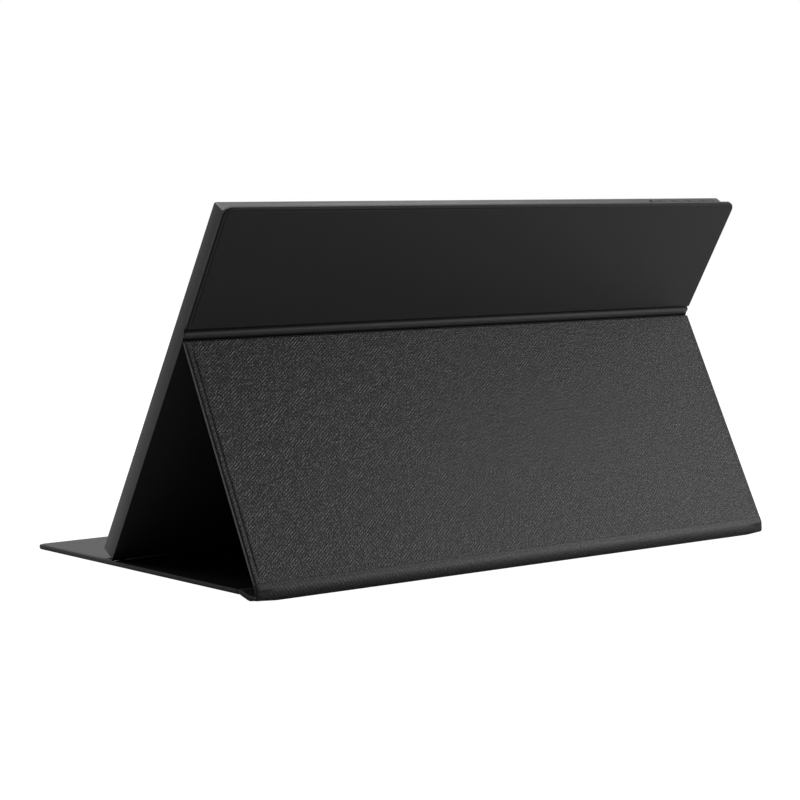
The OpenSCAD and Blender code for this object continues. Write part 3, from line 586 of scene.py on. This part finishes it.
beadLook = dict(
    facing=0.2 * mm,    # the lining's own pale colour reaches this far behind the foot; painted shade lies behind it
    behind=3.9 * mm,    # the bead's middle, behind the foot
    half=0.5 * mm,      # half its width
    height=0.7 * mm,
    length=40 * mm,     # how far it reaches in from each end of the groove
    paleFrom=138.4 * mm, fade=28.0)    # the bead's painted light is fade (|x| - paleFrom), 1 at most, stronger towards the groove's ends
beadAt = footOnFlap - beadLook["behind"]


def shadeBehindFoot(tree, vector, front, behind, bead):
    # The lining's own pale colour ends at the foot groove; behind it the lining is painted dark as shade, with
    # light painted on the bead towards the groove's ends
    split = tree.nodes.new("ShaderNodeSeparateXYZ")
    link(tree, vector, split.inputs[0])
    near = math2(tree, "COMPARE", split.outputs["Y"], beadAt)
    near.node.inputs[2].default_value = beadLook["half"]
    toEnds = math2(tree, "ABSOLUTE", split.outputs["X"], 0)
    paintedBeadLight = math2(tree, "MULTIPLY", math2(tree, "SUBTRACT", toEnds, beadLook["paleFrom"]),
                 beadLook["fade"], clamp=True)
    rear = mixColor(tree, math2(tree, "MULTIPLY", near, paintedBeadLight), (*behind, 1), (*bead, 1))
    isFront = math2(tree, "GREATER_THAN", split.outputs["Y"], footOnFlap - beadLook["facing"])
    return mixColor(tree, isFront, rear, (*front, 1))


def makeMaterial(name, spec):
    # A Principled material: the group's tone moves colour and roughness about their middle values and
    # its height goes into the bump; painted shade in dark lines and pits is made by a dark metal, which reflects
    # little
    material = bpy.data.materials.new(name)
    material.use_nodes = True
    tree = material.node_tree
    bsdf = tree.nodes["Principled BSDF"]
    coords = tree.nodes.new("ShaderNodeTexCoord")
    vector = coords.outputs["UV" if spec.get("uv") else "Object"]
    pattern = tree.nodes.new("ShaderNodeGroup")
    pattern.node_tree = groups[spec["group"]]
    link(tree, vector, pattern.inputs["Vector"])
    pattern.inputs["Pitch" if spec["group"] == "hatch" else "Scale"].default_value = spec["grain"]
    plain = spec["color"]
    if "behind" in spec:
        plain = shadeBehindFoot(tree, vector, plain, spec["behind"], spec["bead"])
    color = shade(tree, plain, pattern.outputs["Tone"], spec["tone"])
    # Rim values paint highlights on rims and shade in dark lines, grooves and band ends
    if "rim" in spec:
        attribute = tree.nodes.new("ShaderNodeAttribute")
        attribute.attribute_name = "rim"
        rimPaint = tree.nodes.new("ShaderNodeGroup")
        rimPaint.node_tree = rimPaintGroup
        link(tree, vector, rimPaint.inputs["Vector"])
        link(tree, attribute.outputs["Fac"], rimPaint.inputs["Rim"])
        link(tree, color, rimPaint.inputs["Color"])
        rimPaint.inputs["Rim Color"].default_value = (*spec["rim"], 1)
        rimPaint.inputs["Amount"].default_value = spec.get("rimAmount", 1.0)
        color = rimPaint.outputs["Color"]
        # Painted shade in the pattern's pits: its low parts turn to dark metal
        pitShadeMask = math2(tree, "MULTIPLY", math2(tree, "SUBTRACT", 0.6, pattern.outputs["Tone"]),
                    spec.get("pitShade", 0.0), clamp=True)
        link(tree, math2(tree, "MAXIMUM", rimPaint.outputs["Gap"], pitShadeMask), bsdf.inputs["Metallic"])
    else:
        bsdf.inputs["Metallic"].default_value = spec.get("metallic", 0.0)
    link(tree, color, bsdf.inputs["Base Color"])
    rough = math2(tree, "ADD", math2(tree, "MULTIPLY", math2(
        tree, "SUBTRACT", pattern.outputs["Tone"], 0.5), -spec["roughSpan"]), spec["rough"])
    link(tree, rough, bsdf.inputs["Roughness"])
    bump = tree.nodes.new("ShaderNodeBump")
    bump.inputs["Distance"].default_value = spec["height"]
    bump.inputs["Strength"].default_value = 1.0
    link(tree, pattern.outputs["Height"], bump.inputs["Height"])
    link(tree, bump.outputs["Normal"], bsdf.inputs["Normal"])
    bsdf.inputs["Specular IOR Level"].default_value = spec.get("specular", 0.5)
    if "coat" in spec:
        bsdf.inputs["Coat Weight"].default_value = spec["coat"]
        bsdf.inputs["Coat Roughness"].default_value = 0.25
    return material


materials = {name: makeMaterial(name, spec) for name, spec in finishes.items()}
print("materials made:", len(materials))

slotFinish = {
    "housing_grey": "housingGrey", "bezel_black": "bezelBlack", "foam_black": "bezelBlack",
    "screen_glass": "screenCoat", "film_white": "filmWhite", "guide_clear": "filmWhite",
    "reflector_white": "filmWhite", "lamp_strip": "filmWhite", "tray_steel": "steel",
    "board_green": "circuitGreen", "chip_black": "keyBlack", "screw_steel": "steel",
    "port_steel": "steel", "jack_black": "keyBlack", "ribbon_amber": "filmAmber",
    "speaker_black": "keyBlack", "lead_red": "leadRed", "switch_steel": "steel",
    "key_strip_black": "keyBlack", "key_black": "keyBlack", "catch_steel": "steel",
    "skin_smooth": "skinSmooth", "skin_crosshatch": "skinHatch", "skin_fold": "skinFold",
    "cover_board": "coverBoard", "lining_grey": "liningPaintedShade", "magnet_nickel": "steel",
    "grip_rubber": "rubberGrey"}
for row in frame["record"]["subparts"]:
    node = frame["nodes"][row["node"]]
    node.data.materials.clear()
    node.data.materials.append(materials[slotFinish[row["material_slot"]]])


def dress(obj, finish, body=None, replaces=(), inner=None):
    # Gives a piece its finish and, where it is wanted, another one on its inner faces
    obj.data.materials.clear()
    obj.data.materials.append(materials[finish])
    if inner:
        obj.data.materials.append(materials[inner])
    if body:
        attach(obj, body)
    if replaces:
        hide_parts(*replaces)
    return obj


# Slab: housing, bezel and keys with rounded edges

slabLook = dict(housingRound=0.12 * mm, bezelRound=0.15 * mm, keyRound=0.25 * mm, stripRound=0.2 * mm,
                rearTurn=0.98)    # the rear's painted shade, a darker copy of the housing's finish, goes on faces turned to the rear by this cosine
housing = dress(softCopy("rear_housing", "display", slabLook["housingRound"]), "housingGrey")
# Faces turned to the rear take the second material, a darker copy of the housing's: painted shade for the rear
# inside the stand
housing.data.materials.append(materials["housingPaintedShade"])
rearward = Vector(rearFace.out)
for polygon in housing.data.polygons:
    polygon.material_index = int(polygon.normal.dot(rearward) > slabLook["rearTurn"])
dress(softCopy("front_bezel", "display", slabLook["bezelRound"]), "bezelBlack")
dress(softCopy("key_strip", "display", slabLook["stripRound"]), "keyBlack")
for key in ("power_key", "menu_key", "level_rocker"):
    dress(softCopy(key, key, slabLook["keyRound"]), "keyBlack")
print("slab dressed")

# Cover panels: skin turned over a board, and a lining on the inner face

panelLook = dict(
    edge=0.95 * mm,         # rounding of the outer edge
    innerEdge=0.4 * mm,     # rounding towards the lining
    liningT=0.3 * mm,       # how far the lining stands on the turned-in skin
    liningInset=1.2 * mm,
    seamIn=1.9 * mm,        # the pressed line beside the edge
    seamWidth=0.55 * mm,
    seamDepth=0.26 * mm,
    faceIn=7.5 * mm,        # where the flat middle starts
    sidePale=1.0,           # strength of the painted highlight on the side, of the paler margin and of the dark lines between, painted shade in the pressed line
    marginPale=0.12,
    cornerDark=0.6,
    lineDark=0.45,
    lowShade=0,             # width of a dark shade along the low end
    wave=0.10 * mm)         # unevenness of the faces


def skinProfile(look, thickness):
    # Outer face with close lines at the seam, rounded edge, straight side, inner rounding, inner face
    e, i = look["edge"], look["innerEdge"]
    c, w, inner = look["seamIn"], look["seamWidth"], -thickness + look["liningT"]
    turn = np.linspace(0, math.pi / 2, 7)
    face = [(look["faceIn"], 0), (look["faceIn"] * 0.8, 0)] + [
        (c + k * w, 0) for k in (1.6, 1.1, 0.75, 0.5, 0.25, 0, -0.25, -0.5, -0.75, -1.0)] + [
        (e + 0.08 * mm, 0)]
    outer = [(e - e * math.sin(t), -e + e * math.cos(t)) for t in turn]
    back = [(i - i * math.cos(t), inner + i - i * math.sin(t)) for t in turn]
    return face + outer + [(0, -e - 0.2 * mm)] + back + [(look["faceIn"], inner)]


def keepSeam(s, s0, s1, inset, lowSeam, highSeam):
    # 1 where the seam is wanted; it dies away towards an end that has none
    keep = 1.0
    for wanted, distance in ((lowSeam, s - s0), (highSeam, s1 - s)):
        if not wanted:
            keep = keep * smoothStep(distance, inset + 0.3 * mm, inset + 5 * mm)
    return keep


def farFade(x):
    # The pressed lines are shallower, and their painted shade fainter, towards the cover's far side, at negative X
    return 0.3 + 0.7 * smoothStep(x, -0.1, 0.1)


def panelRim(look, s0, s1, lowSeam, highSeam):
    # The turned skin of a panel, as rim values: painted highlight on the side, dark line on the corner, paler
    # margin, painted shade in the pressed line and, with lowShade, along the low end
    c, w = look["seamIn"], look["seamWidth"]

    def rimOf(x, s, h, inset):
        side = smoothStep(-h, 0.65 * mm, 0.95 * mm) * look["sidePale"]
        corner = smoothStep(-h, 0.05 * mm, 0.15 * mm) * (1 - smoothStep(-h, 0.4 * mm, 0.75 * mm))
        margin = smoothStep(c - 0.75 * w - inset, 0, 0.2 * mm) * smoothStep(h, -0.1 * mm, 0)
        line = (1 - smoothStep(abs(inset - c), 0.35 * w, 0.75 * w)) * (h > -0.1 * mm)
        line = line * look["lineDark"] * farFade(x)
        mark = side + look["marginPale"] * margin - look["cornerDark"] * corner - line
        mark = mark * keepSeam(s, s0, s1, inset, lowSeam, highSeam)
        if look["lowShade"] > 0 and h > -1 * mm:
            mark = mark - 0.75 * (1 - smoothStep(s - s0, 0.5 * look["lowShade"], 1.2 * look["lowShade"]))
        return mark * np.ones(len(s))
    return rimOf


def liningProfile(look, thickness):
    # The thin pad on the inner face, from its hidden side round its soft edge to its open face
    base, face, a = -thickness + look["liningT"] * 0.9, -thickness, look["liningInset"]
    return [(look["faceIn"], base), (a, base), (a, base - 0.4 * look["liningT"]),
            (a + 0.08 * mm, face + 0.25 * look["liningT"]), (a + 0.25 * mm, face + 0.04 * mm),
            (a + 0.6 * mm, face), (look["faceIn"], face)]


def waves(seed, amount):
    # A slow unevenness: a sum of a few long sine waves, fading out at the edges of the range
    r = np.random.default_rng(seed)
    terms = [(r.uniform(8, 40), r.uniform(8, 46), r.uniform(0, 6.3), r.uniform(0.3, 1)) for _ in range(7)]

    def height(x, s):
        total = sum(a * np.sin(kx * x + ks * s + p) for kx, ks, p, a in terms)
        return amount * total / sum(t[3] for t in terms)
    return height


def faceLift(look, seed, thickness, s0, s1, half, seam, lowSeam, highSeam):
    # Slow waves, less a seam: depth * (1 - t^2)^2 over t = (inset - seamIn) / seamWidth, on the sides
    # and, where they are wanted, along the low and high ends
    wave = waves(seed, look["wave"])

    def lift(x, s, h, inset):
        face = h > -thickness / 2
        middle = smoothStep(np.minimum(half - np.abs(x), np.minimum(s - s0, s1 - s)), 0.5 * mm, 14 * mm)
        t = np.clip((inset - look["seamIn"]) / look["seamWidth"], -1, 1)
        keep = keepSeam(s, s0, s1, inset, lowSeam, highSeam)
        return face * (wave(x, s) * middle - look["seamDepth"] * seam * keep * farFade(x) * (1 - t * t) ** 2)
    return lift


columns = spread(91)
lines = spread(37)


def coverPanel(name, plane, half, s0, s1, rLow, rHigh, finish, body, skinNodes, liningNodes,
               liningFinish, seed, look, seam=1.0, lowSeam=True, highSeam=True, ts=lines, liningExtra=None):
    # A panel from s0 to s1: a skin wrapped round its edge and a lining pad on its inner face
    skin = slabShell(name + "_skin_wrapped", plane, half, s0, s1, rLow, rHigh,
                     skinProfile(look, panelT), columns, ts,
                     faceLift(look, seed, panelT, s0, s1, half, seam, lowSeam, highSeam),
                     panelRim(look, s0, s1, lowSeam, highSeam))
    dress(skin, finish, body, skinNodes)
    lining = slabShell(name + "_lining_pad", plane, half, s0, s1, rLow, rHigh,
                       liningProfile(look, panelT), columns, ts, liningExtra)
    dress(lining, liningFinish, body, liningNodes)


halfCover, upperEnd = upperPlane.reach("upper_skin")[:2]
foldCorner, freeCorner = 0.6 * mm, 5 * mm
upperStart = foldS + 4.0 * mm
coverPanel("upper", upperPlane, halfCover, upperStart, upperEnd, foldCorner, freeCorner, "skinSmooth",
           "display", ("upper_skin",), ("upper_lining",), "liningPaintedShade", 3,
           dict(panelLook, lowShade=1.3 * mm), seam=0.8, lowSeam=False)
standLook = dict(panelLook, seamIn=3.1 * mm, seamWidth=0.9 * mm, marginPale=-0.35, cornerDark=0.8,
                 lineDark=0.75, sidePale=0.8)
standTop, standEnd = 1.6 * mm, standLen - 5.4 * mm
coverPanel("stand", standPlane, halfCover, standTop, standEnd, foldCorner, foldCorner, "skinHatch",
           "stand_panel", ("stand_skin",), ("stand_lining",), "liningPaintedShade", 5,
           standLook, seam=1.2, lowSeam=False, highSeam=False)

# Front flap, with the groove for the foot pressed into its lining

grooveLook = dict(front=1.1 * mm, rear=3.0 * mm, depth=0.42 * mm, wall=0.35 * mm, halfLength=178.4 * mm)


def footGroove(x, s, h, inset):
    # Depth of the groove less the bead's height 1 - t^2 over t = (s - beadAt) / half
    g, b = grooveLook, beadLook
    across = smoothStep(s, footOnFlap - g["rear"] - g["wall"], footOnFlap - g["rear"]) * (
        1 - smoothStep(s, footOnFlap + g["front"], footOnFlap + g["front"] + g["wall"]))
    ends = 1 - smoothStep(np.abs(x), g["halfLength"] - g["wall"], g["halfLength"])
    bead = np.clip(1 - ((s - beadAt) / b["half"]) ** 2, 0, 1) * b["height"] * smoothStep(
        np.abs(x), g["halfLength"] - b["length"], g["halfLength"] - 0.8 * b["length"])
    return (g["depth"] * across - bead) * ends * (h < -panelT + 0.2 * mm)


flapStart, flapEnd = 0.3 * mm, flapPlane.reach("flap_skin")[1]
fromFoot = [-4.45, -4.3, -4.1, -3.9, -3.7, -3.5, -3.35, -3.15, -2.9, -1, 0.4, 1.05, 1.25, 1.5, 1.8]
grooveLines = footOnFlap - flapStart + np.array(fromFoot) * mm
flapLines = spread(43, grooveLines / (flapEnd - flapStart))
coverPanel("flap", flapPlane, halfCover, flapStart, flapEnd, foldCorner, freeCorner, "skinSmooth",
           "front_flap", ("flap_skin",), ("flap_lining",), "liningShadedBehindFoot", 9,
           dict(panelLook, sidePale=0.35), seam=0.6, lowSeam=False, ts=flapLines, liningExtra=footGroove)
print("cover panels made")

# Folds: strips of skin that bend between two bodies


def slabAt(q, h):
    # A point q above the fold along the slab, h out of the upper panel's face, as (y, z)
    return upperPlane.at(0.0, foldS + q, h)[1:]


def standAt(s, h):
    # A point s below the fold along the stand panel, h out of its face
    return standPlane.at(0.0, s, h)[1:]


def flapAt(s, h):
    # A point s in front of the flap's axis, h out of its underside
    return flapPlane.at(0.0, s, h)[1:]


def vec(p):
    # (y, z) as a point in the middle of the cover
    return (0.0, float(p[0]), float(p[1]))


creaseLook = dict(skin=0.55 * mm, deep=1.75 * mm, ridge=0.3 * mm, edgeRound=0.9 * mm)
deep, ridge = creaseLook["deep"], creaseLook["ridge"]
creasePath = smoothPath([
    slabAt(6.8 * mm, -1.75 * mm), slabAt(5.2 * mm, -1.95 * mm), slabAt(4.0 * mm, -deep - 0.15 * mm),
    slabAt(3.45 * mm, -deep), slabAt(2.9 * mm, -1.3 * mm), slabAt(2.4 * mm, -0.7 * mm),
    slabAt(1.8 * mm, -ridge - 0.06 * mm), slabAt(1.15 * mm, -ridge), slabAt(0.55 * mm, -ridge - 0.02 * mm),
    slabAt(0.05 * mm, -ridge - 0.35 * mm), standAt(0.45 * mm, -1.15 * mm), standAt(0.85 * mm, -deep),
    standAt(1.4 * mm, -deep - 0.15 * mm), standAt(2.4 * mm, -2.0 * mm), standAt(3.6 * mm, -1.9 * mm),
    standAt(5.0 * mm, -1.85 * mm)], 84)
# Height of each point over the nearer panel's face, which sets a painted highlight on the ridge and painted shade
# in the grooves
upAxis, outAxis = slabAt(1.0, 0) - slabAt(0, 0), slabAt(0, 1.0) - slabAt(0, 0)
fromFold, standOut = creasePath - slabAt(0, 0), standAt(0, 1.0) - standAt(0, 0)
height = np.where(fromFold @ upAxis > 0.2 * mm, fromFold @ outAxis, (creasePath - standAt(0, 0)) @ standOut)
creaseRidgeHighlight = 0.5 * smoothStep(height, -0.5 * mm, -0.32 * mm)
creaseLightAndShade = creaseRidgeHighlight - (1 - smoothStep(height, -0.75 * mm, -0.34 * mm))
crease = ribbon("crease_skin_folded", creasePath, creaseLook["skin"], halfCover,
                creaseLook["edgeRound"], shade=creaseLightAndShade)
dress(crease, "skinFold", None, ("crease_strip",))
vec(slabAt(0.4 * mm, -ridge))
vec(standAt(0.85 * mm, -deep))
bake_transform(crease)

innerPath = smoothPath([
    slabAt(6.0 * mm, -panelT + 0.25 * mm), slabAt(3.0 * mm, -panelT + 0.2 * mm),
    slabAt(1.0 * mm, -panelT + 0.3 * mm), (slabAt(-0.6 * mm, -2.1 * mm) + standAt(0.4 * mm, -2.1 * mm)) / 2,
    standAt(1.6 * mm, -panelT + 0.28 * mm), standAt(4.0 * mm, -panelT + 0.22 * mm),
    standAt(7.0 * mm, -panelT + 0.25 * mm)], 40)
creaseInner = ribbon("crease_lining_folded", innerPath, 0.35 * mm, halfCover - 1.2 * mm, 0.3 * mm)
dress(creaseInner, "liningPaintedShade")
vec(slabAt(1.0 * mm, -panelT))
vec(standAt(1.6 * mm, -panelT))
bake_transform(creaseInner)

spineLook = dict(endRound=0.7 * mm, pinchReach=14 * mm, pinch=0.3, flat=10 * mm,
                 wrinkle=3.4 * mm, wrinkleDeep=0.22 * mm)
flatEnd = rollAxis[1] - spineLook["flat"] + rollRadius
slopeUp = np.array([flapAxis[1] - flatEnd, flapAxis[2]])
bandFace = [(0.02, 7.12), (0.4, 6.05), (0.66, 4.95), (0.82, 3.8), (0.88, 2.6), (0.84, 1.7),
            (0.66, 0.95), (0.25, 0.36), (-0.4, 0.05), (-1.3, 0.0)]
bandPoints = [(rollAxis[1] + y * mm, z * mm) for y, z in bandFace]
spineOuter = smoothPath([
    standAt(standLen - 10 * mm, -1.3 * mm), standAt(standLen - 8.6 * mm, -0.75 * mm),
    standAt(standLen - 7.5 * mm, -0.2 * mm), standAt(standLen - 6.8 * mm, 0.02 * mm),
    standAt(standLen - 6.2 * mm, 0.03 * mm), standAt(standLen - 5.6 * mm, 0.0)] + bandPoints + [
    (rollAxis[1] - 3 * mm, 0), (flatEnd + 1.5 * mm, 0), (flatEnd, 0.04 * mm),
    (flatEnd + 0.5 * slopeUp[0], 0.5 * slopeUp[1]), (flapAxis[1] + 1.2 * mm, 0.9 * flapAxis[2]),
    (flapAxis[1] + 0.5 * mm, flapAxis[2] + 0.25 * mm)], 130)
spineInner = smoothPath([
    standAt(standLen - 10 * mm, -1.6 * mm), standAt(standLen - 8.8 * mm, -2.2 * mm),
    standAt(standLen - 7.0 * mm, -panelT), standAt(standLen - 3.0 * mm, -panelT),
    standAt(standLen - 1.5 * mm, -panelT), (rollAxis[1] - 0.9 * mm, rollAxis[2] + 0.52 * mm),
    (rollAxis[1] - 1.5 * mm, panelT), (rollAxis[1] - 4.0 * mm, panelT), (rollAxis[1] - 6.6 * mm, panelT),
    (flatEnd, panelT), (flatEnd + 0.5 * slopeUp[0], panelT + 0.5 * slopeUp[1] - 0.1 * mm),
    (flapAxis[1] + 1.4 * mm, flapAxis[2] + panelT - 0.35 * mm),
    (flapAxis[1] + 0.5 * mm, flapAxis[2] + panelT - 0.8 * mm)], 130)


def pinchedEnds(x, ring):
    # Towards both ends the roll draws in a little on its middle, as turned-in skin does
    near = smoothStep(np.abs(x), halfCover - spineLook["pinchReach"], halfCover)
    y, z = ring[..., 0], ring[..., 1]
    onRoll = smoothStep(y, rollAxis[1] - 7 * mm, rollAxis[1] - 1 * mm) * (1 - smoothStep(
        z, 2 * rollRadius, 3 * rollRadius))
    z = z + (rollRadius - z) * spineLook["pinch"] * near * onRoll * (z < rollRadius)
    fromEnd = halfCover - np.abs(x)
    crinkle = np.sin(2 * math.pi * fromEnd / spineLook["wrinkle"] + 900 * z) * np.exp(-fromEnd / (5 * mm))
    y = y - onRoll * (0.5 * mm * near + spineLook["wrinkleDeep"] * crinkle * smoothStep(fromEnd, 0, 1 * mm))
    return np.stack([y, z], -1)


roll = foldedBand("spine_skin_rolled", spineOuter, spineInner, halfCover, spineLook["endRound"],
                  columns=150, shape=pinchedEnds)
dress(roll, "skinRolled", None, ("spine_skin", "spine_lining"), "liningPaintedShade")
vec(standAt(standLen - 2.2 * mm, 0))
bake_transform(roll)

flapOuter = smoothPath([
    (flapAxis[1] + 3.2 * mm, flapAxis[2] + 0.3 * mm), (flapAxis[1] + 1.8 * mm, flapAxis[2] - 0.1 * mm),
    (flapAxis[1] + 0.8 * mm, flapAxis[2] + 0.08 * mm), flapAt(0.6 * mm, -0.1 * mm),
    flapAt(1.6 * mm, -0.02 * mm), flapAt(2.6 * mm, -0.3 * mm), flapAt(3.6 * mm, -0.9 * mm)], 40)
flapInner = smoothPath([
    (flapAxis[1] + 3.4 * mm, flapAxis[2] + panelT - 1.5 * mm),
    (flapAxis[1] + 2.0 * mm, flapAxis[2] + panelT - 0.55 * mm),
    (flapAxis[1] + 0.8 * mm, flapAxis[2] + panelT - 0.35 * mm), flapAt(0.6 * mm, -panelT + 0.3 * mm),
    flapAt(1.6 * mm, -panelT + 0.14 * mm), flapAt(2.6 * mm, -panelT + 0.3 * mm),
    flapAt(3.6 * mm, -panelT + 0.8 * mm)], 40)
flapFold = foldedBand("flap_fold_skin", flapOuter, flapInner, halfCover - 0.1 * mm, 0.6 * mm)
dress(flapFold, "skinFold", inner="liningPaintedShade")
vec(flapAt(1.2 * mm, 0))
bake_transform(flapFold)
print("folds made")

# Camera at the photograph's place, floor, world and lamps

cameraLook = dict(place=(0.80435, 1.01846, 0.20304), yaw=-0.6655, pitch=0.0933, roll=0.0032,
                  focal=2272.66, frame=800, sensor=36)
yaw, pitch, tilt = cameraLook["yaw"], cameraLook["pitch"], cameraLook["roll"]
forward = Vector((math.sin(yaw) * math.cos(pitch), -math.cos(yaw) * math.cos(pitch), -math.sin(pitch)))
right = forward.cross(Vector((0, 0, 1))).normalized()
down = forward.cross(right)
rightTurned = math.cos(tilt) * right + math.sin(tilt) * down
upTurned = math.sin(tilt) * right - math.cos(tilt) * down
cameraData = bpy.data.cameras.new("camera")
cameraData.sensor_width = cameraLook["sensor"]
cameraData.lens = cameraLook["focal"] / cameraLook["frame"] * cameraLook["sensor"]
camera = newObject("camera", cameraData)
axes = Matrix((rightTurned, upTurned, -forward)).transposed()
camera.matrix_world = Matrix.Translation(cameraLook["place"]) @ axes.to_4x4()
bpy.context.scene.camera = camera

studio = dict(floorSize=14.0, floorDrop=0.00015, floorPale=0.9, floorGlow=0.85, glowStrength=1.2,
              ambient=0.1)
floorHalf = studio["floorSize"] / 2
floorMesh = bpy.data.meshes.new("floor")
floorMesh.from_pydata([(x * floorHalf, y * floorHalf, -studio["floorDrop"])
                       for x, y in ((-1, -1), (1, -1), (1, 1), (-1, 1))], [], [(0, 1, 2, 3)])
floor = newObject("floor", floorMesh)


def floorMaterial():
    # White to the camera with part of the shadow kept; plain pale diffuse to everything else
    material = bpy.data.materials.new("paleFloor")
    material.use_nodes = True
    tree = material.node_tree
    tree.nodes.remove(tree.nodes["Principled BSDF"])
    out = tree.nodes["Material Output"]
    diffuse = tree.nodes.new("ShaderNodeBsdfDiffuse")
    diffuse.inputs["Color"].default_value = (*3 * [studio["floorPale"]], 1)
    glow = tree.nodes.new("ShaderNodeEmission")
    glow.inputs["Color"].default_value = (1, 1, 1, 1)
    glow.inputs["Strength"].default_value = studio["glowStrength"]
    path = tree.nodes.new("ShaderNodeLightPath")
    mix = tree.nodes.new("ShaderNodeMixShader")
    link(tree, math2(tree, "MULTIPLY", path.outputs["Is Camera Ray"], studio["floorGlow"]), mix.inputs[0])
    link(tree, diffuse.outputs[0], mix.inputs[1])
    link(tree, glow.outputs[0], mix.inputs[2])
    link(tree, mix.outputs[0], out.inputs["Surface"])
    return material


floorMesh.materials.append(floorMaterial())
world = bpy.data.worlds.new("studio")
bpy.context.scene.world = world
world.use_nodes = True
tree = world.node_tree
background = tree.nodes["Background"]
background.inputs["Color"].default_value = (1, 1, 1, 1)
path = tree.nodes.new("ShaderNodeLightPath")
seen = math2(tree, "MAXIMUM", path.outputs["Is Camera Ray"], path.outputs["Is Transmission Ray"])
seenOrGlossy = math2(tree, "MAXIMUM", seen, path.outputs["Is Glossy Ray"])
strength = math2(tree, "MAXIMUM", seenOrGlossy, studio["ambient"])
link(tree, strength, background.inputs["Strength"])

lamps = [
    dict(name="topBox", place=(0.08, -0.56, 1.5), aim=(0, -0.05, 0.05), size=(0.9, 0.8), watts=22),
    dict(name="rearRightBox", place=(-0.74, 0.78, 0.4), aim=(-0.05, 0.1, 0.05), size=(0.6, 0.45), watts=13),
    dict(name="edgeBox", place=(-0.8, -0.4, 1.36), aim=(0.15, 0.07, 0.19), size=(0.35, 0.35), watts=3.2),
    dict(name="sideBox", place=(1.5, -0.5, 0.6), aim=(0.1, -0.05, 0.1), size=(0.8, 0.8), watts=2.0),
]
for lamp in lamps:
    data = bpy.data.lights.new(lamp["name"], "AREA")
    data.shape = "RECTANGLE"
    data.size, data.size_y = lamp["size"]
    data.energy = lamp["watts"]
    obj = newObject(lamp["name"], data)
    turn = (Vector(lamp["aim"]) - Vector(lamp["place"])).to_track_quat("-Z", "Y")
    obj.matrix_world = Matrix.Translation(lamp["place"]) @ turn.to_matrix().to_4x4()

bpy.context.scene.view_settings.view_transform = "Standard"
print("studio ready")
